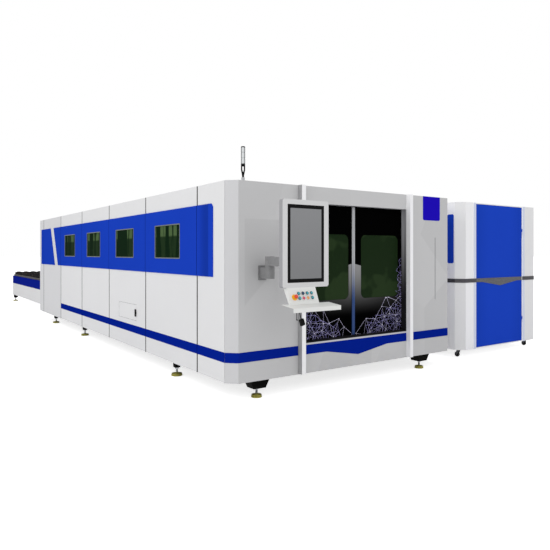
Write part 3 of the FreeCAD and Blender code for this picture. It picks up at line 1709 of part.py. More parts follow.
def build_buttons():
    lamps = []
    number = 1
    for index, (x, up) in enumerate(button_places()):
        is_lamp = index in (1, 2)
        gap = 0 if is_lamp else size("button_travel") + RUN
        name = f"indicator_lamp_{index}" if is_lamp else f"push_button_{number}"
        cap = on_slope(name, x, up, gap)
        half = cap.profile("XZ")
        radius, height = size("button_radius"), size("button_height")
        half.polygon([(0, 0), (radius, 0), (radius, height), (radius * 0.7, height + 2), (0, height + 2.6)])
        cap.revolve(half)
        if is_lamp:
            lamps.append(cap)
        else:
            cap.node()
            number += 1
    group("indicator_lamps", lamps)

    place = (size("estop_x") - size("desk_left"), size("estop_up"))
    stem, collar = size("estop_stem_radius"), size("estop_collar_height")
    ring = on_slope("estop_ring", *place)
    half = ring.profile("XZ")
    disc = size("estop_disc_radius")
    inner = stem + RUN
    half.polygon([(inner, 0), (disc, 0), (disc, 2.4), (disc * 0.5, 3), (disc * 0.45, collar), (inner, collar)])
    ring.revolve(half)
    ring.node()
    cap = on_slope("estop_cap", *place)
    half = cap.profile("XZ")
    radius = size("estop_cap_radius")
    lift = collar + 6
    half.polygon([
        (0, 8),
        (stem, 8),
        (stem, lift),
        (radius * 0.9, lift),
        (radius, lift + 4),
        (radius, lift + 10),
        (radius * 0.7, lift + 16),
        (0, lift + 18),
    ])
    cap.revolve(half)
    cap.node()


def build_lead():
    """A socket hanging on a short lead under the tray; the lead's points are chosen by eye."""
    bottom = tray_level(size("tray_front") - size("lead_y")) - GAUGE - size("gland_height")
    x = WRIST_X + size("lead_x") - size("tray_left")
    y = TRAY_FRONT + size("lead_y")
    route = [(0, 0), (0, -28), (6, -59), (16, -88)]
    radius = size("lead_radius")
    lead = DOC.addObject("Part::Feature", "usb_lead")
    lead.Label = "usb_lead"
    points = [FreeCAD.Vector(across, 0, down) for across, down in route]
    lead.Shape = round_tube(points, radius.value)
    bind(lead, "Placement.Base.x", x - ORIGIN_X)
    bind(lead, "Placement.Base.y", y - ORIGIN_Y)
    bind(lead, "Placement.Base.z", bottom)
    NODES.append(lead)

    (x0, z0), (x1, z1) = route[-2], route[-1]
    tilt = Size.of(math.degrees(math.atan2(x1 - x0, z0 - z1)))
    socket = Piece("usb_socket", x + x1, y, bottom + z1).turn((0, -1, 0), tilt)
    width, height = size("socket_width"), size("socket_height")
    depth = size("socket_depth")
    case = socket.profile("XZ", -depth / 2).rounded(-width / 2, -height, width, height, 6)
    socket.pad(case, depth)
    mouth = socket.profile("XY", -height)
    mouth.rectangle(-width * 0.3, -depth * 0.25, width * 0.6, depth * 0.5)
    socket.pocket(mouth, 12)
    socket.node()


def round_tube(points, radius):
    """A tube of straight runs joined by tangent arcs."""
    edges = []
    start = points[0]
    for before, corner, after in zip(points, points[1:], points[2:]):
        into, out = (corner - before).normalize(), (after - corner).normalize()
        half_turn = into.getAngle(out) / 2
        reach = 0.45 * min((corner - before).Length, (after - corner).Length)
        bend = reach / math.tan(half_turn)
        enter, leave = corner - into * reach, corner + out * reach
        middle_way = (out - into).normalize()
        centre = corner + middle_way * (bend / math.cos(half_turn))
        edges.append(Part.LineSegment(start, enter).toShape())
        edges.append(Part.Arc(enter, centre - middle_way * bend, leave).toShape())
        print(f"lead bend radius {bend:.1f} mm")
        start = leave
    edges.append(Part.LineSegment(start, points[-1]).toShape())
    path = Part.Wire(edges)
    circle = Part.Circle(points[0], points[1] - points[0], radius).toShape()
    return path.makePipeShell([Part.Wire(circle)], True, False)


# --------------------------------------------------------------------------- laser cabinet


def cabinet_plan(profile, inset):
    """The cabinet's plan with its four cut corners."""
    width, depth, cut = size("cabinet_width"), size("cabinet_depth"), size("cabinet_chamfer")
    low, right, back = Size.of(inset), width - inset, depth - inset
    corner = cut + low * (math.sqrt(2) - 2) + low
    profile.polygon([
        (corner, low),
        (width - corner, low),
        (right, corner),
        (right, depth - corner),
        (width - corner, back),
        (corner, back),
        (low, depth - corner),
        (low, corner),
    ])


def hinge_axis():
    """The cabinet door's hinge line, from the cabinet's left front corner."""
    return size("cabinet_door_start") + size("cabinet_door_width"), -size("hinge_radius") + 1


def caster_places():
    left, right = size("caster_inset_left"), size("cabinet_width") - size("caster_inset_right")
    front, back = size("caster_inset_y"), size("cabinet_depth") - size("caster_inset_y")
    return [(left, front), (right, front), (left, back), (right, back)]


def fork_cheeks(piece, x, y, top):
    """The two cheeks of a caster and the axle between them."""
    plate, gap = size("fork_plate"), size("fork_gap")
    width, radius = size("wheel_width"), size("wheel_radius")
    trail = size("caster_trail")
    head = size("fork_head_radius")
    span = width / 2 + gap
    for left in (x - span - plate, x + span):
        cheek = piece.profile("YZ", left)
        cheek.polygon([
            (y - head * 0.8, top),
            (y + head * 0.8, top),
            (y + trail + 12, radius),
            (y + trail + 8, radius - 10),
            (y + trail - 8, radius - 10),
            (y + trail - 14, radius + 4),
        ])
        piece.pad(cheek, plate)
    axle = piece.profile("YZ", x - span - plate - 2)
    axle.circle(y + trail, radius, size("wheel_bore_radius"))
    piece.pad(axle, (span + plate + 2) * 2)


def build_cabinet_shell():
    shell = Piece("cabinet_shell", CABINET_LEFT, size("cabinet_front"))
    bottom, top = size("cabinet_bottom"), size("cabinet_top")
    wall = size("cabinet_wall")
    plan = shell.profile("XY", bottom)
    cabinet_plan(plan, 0)
    shell.pad(plan, top - bottom)
    room = shell.profile("XY", bottom + wall)
    cabinet_plan(room, wall)
    shell.pocket(room, top - bottom - wall * 2)
    door, door_width = size("cabinet_door_start"), size("cabinet_door_width")
    thick = size("cabinet_door_thickness")
    doorway = shell.profile("XZ")
    doorway.rectangle(door, bottom + wall / 2, door_width, top - bottom - wall)
    shell.pocket(doorway, wall)
    rib, rib_depth = size("cabinet_rib_width"), size("cabinet_rib_depth")
    for left in (door - rib, door + door_width + size("hinge_radius") * 2):
        for low, high in cabinet_face_spans():
            strip = shell.profile("XZ", -rib_depth).rectangle(left, low, rib - 14, high - low)
            shell.pad(strip, rib_depth)
    shelf = shell.profile("XZ", wall)
    for level in (0.3, 0.62):
        height = bottom + (top - bottom) * level
        inset = wall + size("cabinet_chamfer")
        shelf.rectangle(inset, height, size("cabinet_width") - inset * 2, GAUGE * 2)
    shell.pad(shelf, size("cabinet_depth") - wall * 2)
    clear_shelves(shell, thick)
    hinge_x, hinge_y = hinge_axis()
    for level in (size("hinge_lower"), size("hinge_upper")):
        knuckle = shell.profile("XY", level)
        radius = size("hinge_radius")
        knuckle.polygon([
            (hinge_x - 2, hinge_y - 2),
            (hinge_x + 2, hinge_y - 2),
            (hinge_x + radius * 2, 0.5),
            (hinge_x + 0.5, 0.5),
        ])
        shell.pad(knuckle, size("hinge_height"))
        shell.pad(shell.profile("XY", level).circle(hinge_x, hinge_y, radius * 0.9), size("hinge_height"))
        pin = shell.profile("XY", level).circle(hinge_x, hinge_y, size("hinge_pin_radius"))
        shell.pad(pin, size("hinge_height") * 1.9)
    for number, (x, y) in enumerate(caster_places()):
        mount = shell.profile("XY", bottom - size("caster_plate_height"))
        mount.rectangle(x - 45, y - 40, 90, 80)
        shell.pad(mount, size("caster_plate_height"))
        if number < 2:
            bore = shell.profile("XY", bottom - size("caster_plate_height"))
            bore.circle(x, y, size("kingpin_radius") + size("arm_pin_clearance"))
            shell.pocket(bore, size("caster_plate_height") + wall * 0.8)
        else:
            fork_cheeks(shell, x, y - size("caster_trail"), bottom - size("caster_plate_height"))
    shell.node()


def cabinet_face_spans():
    """The heights above and below the belt."""
    low, high = size("belt_bottom"), size("belt_bottom") + size("belt_height")
    return [(size("cabinet_bottom"), low - 4), (high + 4, size("cabinet_top"))]


def clear_shelves(shell, thick):
    """Keep the shelves back from the door."""
    slot = shell.profile("XZ", size("cabinet_wall"))
    slot.rectangle(
        size("cabinet_door_start"),
        size("cabinet_bottom") + size("cabinet_wall"),
        size("cabinet_door_width"),
        size("cabinet_top") - size("cabinet_bottom") - size("cabinet_wall") * 2,
    )
    shell.pocket(slot, thick)


def build_cabinet_door():
    gap = size("cabinet_door_gap")
    start, width = size("cabinet_door_start") + gap, size("cabinet_door_width") - gap * 2
    wall = size("cabinet_wall")
    low, high = size("cabinet_bottom") + wall / 2 + gap, size("cabinet_top") - wall / 2 - gap
    thick = size("cabinet_door_thickness")
    door = Piece("cabinet_door", CABINET_LEFT, size("cabinet_front"))
    door.pad(door.profile("XZ").rectangle(start, low, width, high - low), GAUGE * 3)
    rim = door.profile("XZ", GAUGE * 3)
    inner = wall + gap
    rim.rectangle(start + inner, low + inner, width - inner * 2, high - low - inner * 2)
    rim.rectangle(start + inner * 2, low + inner * 2, width - inner * 4, high - low - inner * 4)
    door.pad(rim, thick - GAUGE * 3)
    hinge_x, hinge_y = hinge_axis()
    radius = size("hinge_radius")
    for level in (size("hinge_lower"), size("hinge_upper")):
        seat = level + size("hinge_height") + RUN
        arm = door.profile("XY", seat)
        arm.polygon([
            (hinge_x - 2, hinge_y - 2),
            (hinge_x + 2, hinge_y - 2),
            (hinge_x - gap - 0.5, 1),
            (hinge_x - radius * 2, 1),
        ])
        door.pad(arm, size("hinge_height"))
        door.pad(door.profile("XY", seat).circle(hinge_x, hinge_y, radius * 0.8), size("hinge_height"))
        bore = door.profile("XY", seat)
        bore.circle(hinge_x, hinge_y, size("hinge_pin_radius") + size("arm_pin_clearance"))
        door.pocket(bore, size("hinge_height"))
    door.node()


def belt_front(profile, left, right, centre):
    """The front belt between two edges; it dips to a point under its middle."""
    low, high = size("belt_bottom"), size("belt_bottom") + size("belt_height")
    vee = size("belt_vee_half_width")
    profile.polygon([
        (left, low),
        (centre - vee, low),
        (centre, low - size("belt_vee_drop")),
        (centre + vee, low),
        (right, low),
        (right, high),
        (left, high),
    ])


def build_cabinet_belt():
    thick = size("belt_thickness")
    door_left = size("cabinet_door_start")
    door_right = door_left + size("cabinet_door_width")
    width, depth = size("cabinet_width"), size("cabinet_depth")
    cut = size("cabinet_chamfer")
    slant = thick * math.tan(math.radians(22.5))
    belt = Piece("cabinet_belt", CABINET_LEFT, size("cabinet_front"), size("belt_bottom"))
    plan = belt.profile("XY")
    door_edge = door_right + size("hinge_radius") * 2
    plan.polygon([
        (door_left, -thick),
        (door_left, 0),
        (cut, 0),
        (0, cut),
        (0, depth - cut),
        (cut, depth),
        (width - cut, depth),
        (width, depth - cut),
        (width, cut),
        (width - cut, 0),
        (door_edge, 0),
        (door_edge, -thick),
        (width - cut + slant, -thick),
        (width + thick, cut - slant),
        (width + thick, depth - cut + slant),
        (width - cut + slant, depth + thick),
        (cut - slant, depth + thick),
        (-thick, depth - cut + slant),
        (-thick, cut - slant),
        (cut - slant, -thick),
    ])
    belt.pad(plan, size("belt_height"))
    belt.node()
    front = Piece("cabinet_door_belt", CABINET_LEFT, size("cabinet_front") - thick)
    gap = size("cabinet_door_gap")
    face = front.profile("XZ")
    middle = (door_left + door_right) / 2
    belt_front(face, door_left + gap, door_right - size("hinge_radius") * 2, middle)
    front.pad(face, thick)
    front.node()


def build_cabinet_units():
    """The laser source and the drive unit on their shelves."""
    units = []
    bottom, top = size("cabinet_bottom"), size("cabinet_top")
    width, height, depth = size("unit_width"), size("unit_height"), size("unit_depth")
    back = size("cabinet_depth") - size("cabinet_wall") * 4 - depth
    for number, level in enumerate((0.3, 0.62)):
        shelf = bottom + (top - bottom) * level + GAUGE * 2
        piece = Piece(f"cabinet_unit_{number}", CABINET_LEFT, size("cabinet_front") + back, shelf)
        left = (size("cabinet_width") - width) / 2
        piece.pad(piece.profile("XZ").rectangle(left, 0, width, height), depth)
        grips = piece.profile("XZ", -22)
        for x in (left + 20, left + width - 40):
            grips.rectangle(x, height * 0.3, 20, height * 0.4)
        piece.pad(grips, 22)
        units.append(piece)
    group("cabinet_units", units)


def build_casters():
    bottom = size("cabinet_bottom") - size("caster_plate_height")
    head_height = size("fork_head_height")
    trail = size("caster_trail")
    for side, (x, y) in zip(("left", "right"), caster_places()[:2]):
        fork = Piece(f"{side}_caster_fork", CABINET_LEFT + x, size("cabinet_front") + y)
        head = fork.profile("XY", bottom - RUN - head_height).circle(0, 0, size("fork_head_radius"))
        fork.pad(head, head_height)
        kingpin = fork.profile("XY", bottom - RUN).circle(0, 0, size("kingpin_radius"))
        fork.pad(kingpin, size("cabinet_wall") * 0.7)
        fork_cheeks(fork, Size.of(0), Size.of(0), bottom - RUN - head_height / 2)
        fork.node()
    names = ("front_left_wheel", "front_right_wheel", "rear_left_wheel", "rear_right_wheel")
    for name, (x, y) in zip(names, caster_places()):
        at_y = y + trail if name.startswith("front") else y
        radius, width = size("wheel_radius"), size("wheel_width")
        wheel = Piece(name, CABINET_LEFT + x, size("cabinet_front") + at_y, radius)
        tread = wheel.profile("YZ", -width / 2).circle(0, 0, radius)
        tread.circle(0, 0, size("wheel_bore_radius") + size("arm_pin_clearance"))
        wheel.pad(tread, width)
        hub = wheel.profile("YZ", -width / 2 - 2).circle(0, 0, radius * 0.42)
        hub.circle(0, 0, size("wheel_bore_radius") + size("arm_pin_clearance"))
        wheel.pad(hub, width + 4)
        wheel.node()


# --------------------------------------------------------------------------- whole machine


def build_machine():
    build_base_frame()
    build_bed_rails()
    build_feet()
    build_side_panels()
    build_hatch()
    build_front_corner("front_left_panel", -1)
    build_front_corner("front_right_panel", 1)
    build_portal()
    build_door_liner()
    build_fins()
    build_roof()
    build_rear_wall()
    build_blue_trim()
    build_side_windows()
    build_doors()
    build_gantry()
    build_carriage()
    build_pallet("pallet_upper", LENGTH + size("pallet_table_margin"), size("upper_ledge_top"))
    inside = LENGTH - size("pallet_inside_margin") - size("pallet_length")
    build_pallet("pallet_lower", inside, size("lower_ledge_top"))
    build_exchange_frame()
    build_exchange_skirt()
    build_signal_lamp()
    build_arm()
    build_console_housing()
    build_desk()
    build_buttons()
    build_lead()
    build_cabinet_shell()
    build_cabinet_door()
    build_cabinet_belt()
    build_cabinet_units()
    build_casters()


def check_and_export():
    """Stop on any failed object or broken shape, then write one file for each sub-part."""
    DOC.recompute()
    failed = [thing.Name for thing in DOC.Objects if {"Invalid", "Error"} & set(thing.State)]
    if failed:
        raise RuntimeError(f"failed objects: {failed}")
    for node in NODES:
        if node.Shape.isNull() or not node.Shape.isValid():
            raise RuntimeError(f"broken shape: {node.Label}")
    os.makedirs("parts", exist_ok=True)
    for node in NODES:
        node.Shape.exportStep(f"parts/{node.Label}.step")
        print(f"{node.Label}: {len(node.Shape.Solids)} solids")


build_machine()
check_and_export()
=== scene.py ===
"""Looks of an enclosed fiber laser cutting machine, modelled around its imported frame.

Metres, +Z up. The front doors face -Y and the exchange table stands behind, towards +Y.
"""

from __future__ import annotations

import json
import logging
import math
from dataclasses import dataclass, field
from enum import Enum
from typing import Callable, Iterable, Sequence

import bpy
from bpy.types import Material, Node, NodeSocket, NodeTree, Object, World
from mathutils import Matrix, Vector

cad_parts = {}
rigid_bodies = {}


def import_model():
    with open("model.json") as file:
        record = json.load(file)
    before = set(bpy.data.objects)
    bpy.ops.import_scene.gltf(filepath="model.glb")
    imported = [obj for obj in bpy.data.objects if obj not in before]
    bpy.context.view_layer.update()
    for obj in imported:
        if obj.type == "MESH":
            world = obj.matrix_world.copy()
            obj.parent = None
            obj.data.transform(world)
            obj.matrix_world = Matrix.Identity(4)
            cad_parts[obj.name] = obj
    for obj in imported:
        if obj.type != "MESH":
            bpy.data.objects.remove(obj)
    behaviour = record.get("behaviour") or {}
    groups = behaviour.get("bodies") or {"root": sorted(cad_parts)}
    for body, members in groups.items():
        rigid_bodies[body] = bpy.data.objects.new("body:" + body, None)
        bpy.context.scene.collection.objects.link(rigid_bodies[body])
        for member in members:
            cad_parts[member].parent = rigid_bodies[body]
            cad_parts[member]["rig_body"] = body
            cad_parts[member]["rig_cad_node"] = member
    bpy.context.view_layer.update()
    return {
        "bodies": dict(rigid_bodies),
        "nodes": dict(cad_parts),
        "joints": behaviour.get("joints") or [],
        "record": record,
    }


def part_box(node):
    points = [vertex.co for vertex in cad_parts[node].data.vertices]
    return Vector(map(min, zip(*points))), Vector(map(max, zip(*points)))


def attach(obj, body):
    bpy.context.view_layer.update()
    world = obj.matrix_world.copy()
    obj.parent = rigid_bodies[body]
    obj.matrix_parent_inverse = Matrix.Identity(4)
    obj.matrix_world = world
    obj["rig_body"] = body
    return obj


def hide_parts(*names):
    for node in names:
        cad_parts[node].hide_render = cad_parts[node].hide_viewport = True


LOG = logging.getLogger("laser_cutter")
MM = 0.001
BRACKET_TOP = 193 * MM
SHARP_ANGLE = 35.0
SHEET_ANGLE = 40.0

Colour = tuple[float, float, float]
Point = tuple[float, float, float]
Value = NodeSocket | float | Colour
FaceTest = Callable[[Vector, Vector], bool]


def tone(red: int, green: int, blue: int) -> Colour:
    """Turn a display colour into a scene-linear one.

    Args:
        red: Red from 0 to 255.
        green: Green from 0 to 255.
        blue: Blue from 0 to 255.

    Returns:
        The same colour in linear light.
    """

    def linear(value: int) -> float:
        """Linear light of one display value."""
        share = value / 255
        return share / 12.92 if share <= 0.04045 else ((share + 0.055) / 1.055) ** 2.4

    return linear(red), linear(green), linear(blue)


class Axis(Enum):
    """The axis that a turned or extruded shape follows."""

    X = 0
    Y = 1
    Z = 2


# ---------------------------------------------------------------- node building


class Weaver:
    """Adds shader nodes to a tree and links them."""

    def __init__(self, tree: NodeTree) -> None:
        """Start on a tree.

        Args:
            tree: The node tree of a material, a world or a group.
        """
        self.tree = tree

    @classmethod
    def on(cls, owner: Material | World) -> Weaver:
        """Empty the node tree of a material or a world, and start on it."""
        owner.use_nodes = True
        owner.node_tree.nodes.clear()
        return cls(owner.node_tree)

    def add(self, kind: str, **settings: object) -> Node:
        """Add a node.

        Args:
            kind: The node's type name.
            **settings: Properties of the node.

        Returns:
            The new node.
        """
        node = self.tree.nodes.new(kind)
        for key, value in settings.items():
            setattr(node, key, value)
        return node

    def feed(self, value: Value, socket: NodeSocket) -> None:
        """Give an input its value.

        Args:
            value: A socket to link, a number or a colour.
            socket: The input.
        """
        if isinstance(value, NodeSocket):
            self.tree.links.new(value, socket)
        elif isinstance(value, tuple):
            socket.default_value = (*value, 1.0)
        else:
            socket.default_value = value

    def math(self, operation: str, *values: Value, clamp: bool = False) -> NodeSocket:
        """Add a Math node.

        Args:
            operation: The node's operation.
            *values: Its inputs, each a socket or a number.
            clamp: Whether the result stays between 0 and 1.

        Returns:
            The result's socket.
        """
        node = self.add("ShaderNodeMath", operation=operation, use_clamp=clamp)
        for value, socket in zip(values, node.inputs):
            self.feed(value, socket)
        return node.outputs[0]

    def ramp(self, value: NodeSocket, low: float, high: float) -> NodeSocket:
        """Turn a value into a soft mask.

        Args:
            value: The value that is read.
            low: Where the mask is 0.
            high: Where the mask is 1.

        Returns:
            The mask's socket.
        """
        node = self.add("ShaderNodeMapRange", interpolation_type="SMOOTHSTEP")
        self.feed(value, node.inputs["Value"])
        node.inputs["From Min"].default_value = min(low, high)
        node.inputs["From Max"].default_value = max(low, high)
        node.inputs["To Min"].default_value = 0.0 if low < high else 1.0
        node.inputs["To Max"].default_value = 1.0 if low < high else 0.0
        return node.outputs["Result"]

    def mix(self, factor: NodeSocket, first: Value, second: Value) -> NodeSocket:
        """Mix two colours.

        Args:
            factor: The second colour's share.
            first: The colour at factor 0, a socket or a colour.
            second: The colour at factor 1, a socket or a colour.

        Returns:
            The mixed colour's socket.
        """
        colour_a, colour_b, colour_out = 6, 7, 2
        node = self.add("ShaderNodeMix", data_type="RGBA")
        self.feed(factor, node.inputs[0])
        self.feed(first, node.inputs[colour_a])
        self.feed(second, node.inputs[colour_b])
        return node.outputs[colour_out]

    def noise(self, place: NodeSocket, scale: Value, detail: float = 2.0) -> NodeSocket:
        """Add a Noise texture.

        Args:
            place: The coordinates.
            scale: Features a metre, a socket or a number.
            detail: Octaves.

        Returns:
            The value's socket.
        """
        node = self.add("ShaderNodeTexNoise")
        self.feed(place, node.inputs["Vector"])
        self.feed(scale, node.inputs["Scale"])
        node.inputs["Detail"].default_value = detail
        return node.outputs["Fac"]

    def spot(self) -> NodeSocket:
        """Give the shaded point's place in the object's axes."""
        return self.add("ShaderNodeTexCoord").outputs["Object"]

    def split(self, vector: NodeSocket) -> tuple[NodeSocket, NodeSocket, NodeSocket]:
        """Give a vector's X, Y and Z."""
        node = self.add("ShaderNodeSeparateXYZ")
        self.feed(vector, node.inputs[0])
        return tuple(node.outputs)

    def along(self, axis: Axis) -> NodeSocket:
        """Give the shaded point's place along one of the object's axes."""
        return self.split(self.spot())[axis.value]

    def stretched(self, place: NodeSocket, scale: Point) -> NodeSocket:
        """Scale coordinates unevenly, for grain that runs one way."""
        node = self.add("ShaderNodeMapping")
        self.feed(place, node.inputs["Vector"])
        node.inputs["Scale"].default_value = scale
        return node.outputs["Vector"]

    def shown(self) -> NodeSocket:
        """Give 1 for what the camera sees straight or in a glossy surface, and 0 for other light."""
        path = self.add("ShaderNodeLightPath")
        seen, mirrored = path.outputs["Is Camera Ray"], path.outputs["Is Glossy Ray"]
        return self.math("ADD", seen, mirrored, clamp=True)


class Effects:
    """Shader groups that several finishes share."""

    def __init__(self) -> None:
        """Build every group once."""
        self.groups = {
            "mottle": self._mottle(),
            "peel": self._peel(),
            "dust": self._dust(),
            "grain": self._grain(),
        }

    @staticmethod
    def _group(name: str, inputs: dict[str, str], output: tuple[str, str]) -> tuple[Weaver, Node, Node]:
        """Start a node group.

        Args:
            name: The group's name.
            inputs: Socket types by name.
            output: Name and type of the one output.

        Returns:
            A weaver on the group, its input node and its output node.
        """
        tree = bpy.data.node_groups.new(name, "ShaderNodeTree")
        for key, kind in inputs.items():
            tree.interface.new_socket(key, in_out="INPUT", socket_type=kind)
        tree.interface.new_socket(output[0], in_out="OUTPUT", socket_type=output[1])
        weaver = Weaver(tree)
        return weaver, weaver.add("NodeGroupInput"), weaver.add("NodeGroupOutput")

    def _mottle(self) -> NodeTree:
        """Slow, faint change of a colour over a surface."""
        weaver, given, result = self._group(
            "mottle",
            {"Colour": "NodeSocketColor", "Scale": "NodeSocketFloat", "Amount": "NodeSocketFloat"},
            ("Colour", "NodeSocketColor"),
        )
        patches = weaver.noise(weaver.spot(), given.outputs["Scale"], 4.0)
        shift = weaver.math("SUBTRACT", patches, 0.5)
        shade = weaver.math("MULTIPLY_ADD", shift, given.outputs["Amount"], 1.0)
        shaded = weaver.add("ShaderNodeVectorMath", operation="SCALE")
        weaver.feed(given.outputs["Colour"], shaded.inputs[0])
        weaver.feed(shade, shaded.inputs["Scale"])
        weaver.feed(shaded.outputs[0], result.inputs[0])
        return weaver.tree

    def _peel(self) -> NodeTree:
        """The fine dimple of a sprayed or moulded skin, as a height."""
        weaver, given, result = self._group(
            "peel", {"Scale": "NodeSocketFloat"}, ("Height", "NodeSocketFloat")
        )
        dimples = weaver.noise(weaver.spot(), given.outputs["Scale"], 3.0)
        weaver.feed(dimples, result.inputs[0])
        return weaver.tree

    def _dust(self) -> NodeTree:
        """Where dust settles: on faces that look up, and close to the floor."""
        weaver, given, result = self._group(
            "dust", {"Amount": "NodeSocketFloat"}, ("Mask", "NodeSocketFloat")
        )
        normal = weaver.add("ShaderNodeNewGeometry").outputs["Normal"]
        upward = weaver.ramp(weaver.split(normal)[Axis.Z.value], 0.6, 1.0)
        clean_above, dusty_below = 0.45, 0.02
        low = weaver.ramp(weaver.along(Axis.Z), clean_above, dusty_below)
        patches = weaver.ramp(weaver.noise(weaver.spot(), 9.0, 5.0), 0.35, 0.8)
        both = weaver.math("MULTIPLY_ADD", upward, 0.6, weaver.math("MULTIPLY", low, 0.45))
        mask = weaver.math("MULTIPLY", both, patches)
        amount = weaver.math("MULTIPLY", mask, given.outputs["Amount"], clamp=True)
        weaver.feed(amount, result.inputs[0])
        return weaver.tree

    def _grain(self) -> NodeTree:
        """Fine brushed lines along Z, as a value from 0 to 1."""
        weaver, given, result = self._group(
            "grain", {"Scale": "NodeSocketFloat"}, ("Value", "NodeSocketFloat")
        )
        place = weaver.stretched(weaver.spot(), (1.0, 1.0, 0.02))
        lines = weaver.noise(place, given.outputs["Scale"], 3.0)
        weaver.feed(lines, result.inputs[0])
        return weaver.tree

    def place(self, weaver: Weaver, effect: str, **values: Value) -> NodeSocket:
        """Use an effect in a material.

        Args:
            weaver: The material's weaver.
            effect: The group's name.
            **values: Its inputs, as sockets, numbers or colours.

        Returns:
            The effect's output socket.
        """
        node = weaver.add("ShaderNodeGroup", node_tree=self.groups[effect])
        for key, value in values.items():
            weaver.feed(value, node.inputs[key])
        return node.outputs[0]


# ---------------------------------------------------------------- finishes


@dataclass(frozen=True)
class Coating:
    """A sprayed, moulded or cast surface.

    Attributes:
        name: The material's name.
        colour: Linear base colour.
        roughness: Gloss, from 0 to 1.
        metallic: 1 for bare metal.
        specular: Specular level of the top surface.
        coat: Weight of a clear top coat.
        mottle: How much the colour changes over the surface.
        mottle_scale: Patches a metre.
        peel: Depth of the dimples, in metres.
        peel_scale: Dimples a metre.
        dust: How much dust has settled.
        brushed: Whether fine lines run along Z.
    """

    name: str
    colour: Colour
    roughness: float = 0.42
    metallic: float = 0.0
    specular: float = 0.35
    coat: float = 0.0
    mottle: float = 0.05
    mottle_scale: float = 1.6
    peel: float = 0.00012
    peel_scale: float = 420.0
    dust: float = 0.25
    brushed: bool = False


Finish = Coating | Material


@dataclass(frozen=True)
class Relief:
    """A fine pattern that a surface's height and gloss follow.

    Attributes:
        effect: The shader group that draws it.
        scale: Features a metre.
        spread: How much the roughness changes over it.
        depth: Its depth, in metres.
    """

    effect: str = "peel"
    scale: float = 420.0
    spread: float = 0.1
    depth: float = 0.00012


SPRAYED = Relief()
SMOOTH_SPRAYED = Relief(scale=500.0, spread=0.08, depth=0.00004)
BRUSHED = Relief("grain", 900.0, 0.22, 0.00002)
DRAWN = Relief("grain", 900.0, 0.2, 0.00002)
DUST = tone(150, 146, 138)

WHITE = Coating("white_powder_coat", tone(219, 219, 220), 0.5, specular=0.15, dust=0.14)
# Painted shading: a tone for the front covers' corner faces, set for how light falls on them.
CHAMFER_PAINTED_SHADING = Coating("corner_painted_shading_coat", tone(199, 199, 201), 0.5, specular=0.12)
BRIGHT_WHITE = Coating("bright_white_coat", tone(240, 240, 242), 0.42, specular=0.2)
DESK_WHITE = Coating("desk_white_coat", tone(218, 219, 217), 0.45, specular=0.15, dust=0.0)
CABINET_WHITE = Coating("cabinet_white_coat", tone(228, 228, 229), 0.5, specular=0.12, dust=0.2)
TRIM_WHITE = Coating("cool_trim_coat", tone(208, 214, 232), 0.4, specular=0.1)
REAR_WHITE = Coating("rear_white_coat", tone(209, 209, 211), 0.5, specular=0.12, dust=0.3)
# Painted light: the cabinet's left flank is whiter to make up for the enclosure's shadow on it.
FLANK_PAINTED_LIGHT = Coating("flank_painted_light_coat", tone(251, 251, 252), 0.5, specular=0.12, dust=0.0)
LIP_WHITE = Coating("sill_lip_coat", tone(196, 196, 200), 0.5, specular=0.1, dust=0.0)
# Painted shade: the door fins' upright sides are grey beside their white fronts.
FIN_SIDE_PAINTED_SHADE = Coating("fin_side_painted_shade", tone(162, 162, 164), 0.5, specular=0.12)
CONSOLE_GREY = Coating("console_grey_coat", tone(203, 203, 204), 0.46, specular=0.15)
# Painted shade: the display case's faces that don't look forward are darker than its front.
CONSOLE_SIDE_PAINTED_SHADE = Coating("console_side_painted_shade", tone(153, 153, 156), 0.5, specular=0.12)
ARM_GREY = Coating(
    "arm_grey_coat", tone(132, 132, 133), 0.5, specular=0.15, mottle=0.3, mottle_scale=30.0
)
# Painted shade: the arm's undersides and rounded edges are darker.
ARM_EDGE_PAINTED_SHADE = Coating("arm_edge_painted_shade", tone(72, 72, 74), 0.5, specular=0.1)
STRIPE_BLUE = Coating("stripe_blue_coat", tone(6, 32, 138), 0.55, specular=0.0, dust=0.0)
BLOCK_BLUE = Coating("block_blue_coat", tone(32, 16, 180), 0.55, specular=0.0, dust=0.0)
TABLE_BLUE = Coating("table_blue_coat", tone(17, 33, 140), 0.55, specular=0.0, dust=0.04, mottle=0.2)
SEAM_DARK = Coating("seam_shade", tone(10, 10, 11), 0.7, specular=0.0, dust=0.0)
SEAM_BLUE = Coating("seam_blue_shade", tone(8, 16, 70), 0.7, specular=0.0, dust=0.0)
GROOVE_GREY = Coating("groove_grey", tone(150, 150, 152), 0.6, specular=0.05)
BRACKET_BLACK = Coating("bracket_black", tone(9, 9, 8), 0.6, specular=0.02, dust=0.05)
FRAME_DARK = Coating("frame_dark_coat", tone(52, 52, 56), 0.6, specular=0.15, dust=0.9, mottle=0.2)
STEEL = Coating(
    "ground_steel", tone(160, 162, 166), 0.38, 1.0, mottle=0.12, mottle_scale=20.0, peel_scale=900
)
CASTER_STEEL = Coating(
    "caster_steel", tone(70, 71, 74), 0.45, 0.8, specular=0.1, mottle=0.2, mottle_scale=20.0
)
ALUMINIUM = Coating("brushed_aluminium", tone(206, 210, 214), 0.34, 1.0, mottle=0.06, brushed=True)
FRAME_METAL = Coating(
    "window_frame_metal", tone(104, 110, 106), 0.5, 0.2, specular=0.1, mottle=0.08, brushed=True
)
PAD_BRASS = Coating(
    "plated_pad", tone(148, 142, 62), 0.42, 0.3, specular=0.3, mottle=0.35, mottle_scale=40.0, dust=0.1
)
PLASTIC_BLACK = Coating(
    "moulded_black", tone(13, 13, 14), 0.5, specular=0.05, dust=0.1, peel_scale=1500.0, peel=0.00006
)
PLASTIC_RED = Coating("moulded_red", tone(214, 62, 36), 0.3, coat=0.3, mottle=0.03, dust=0.0)
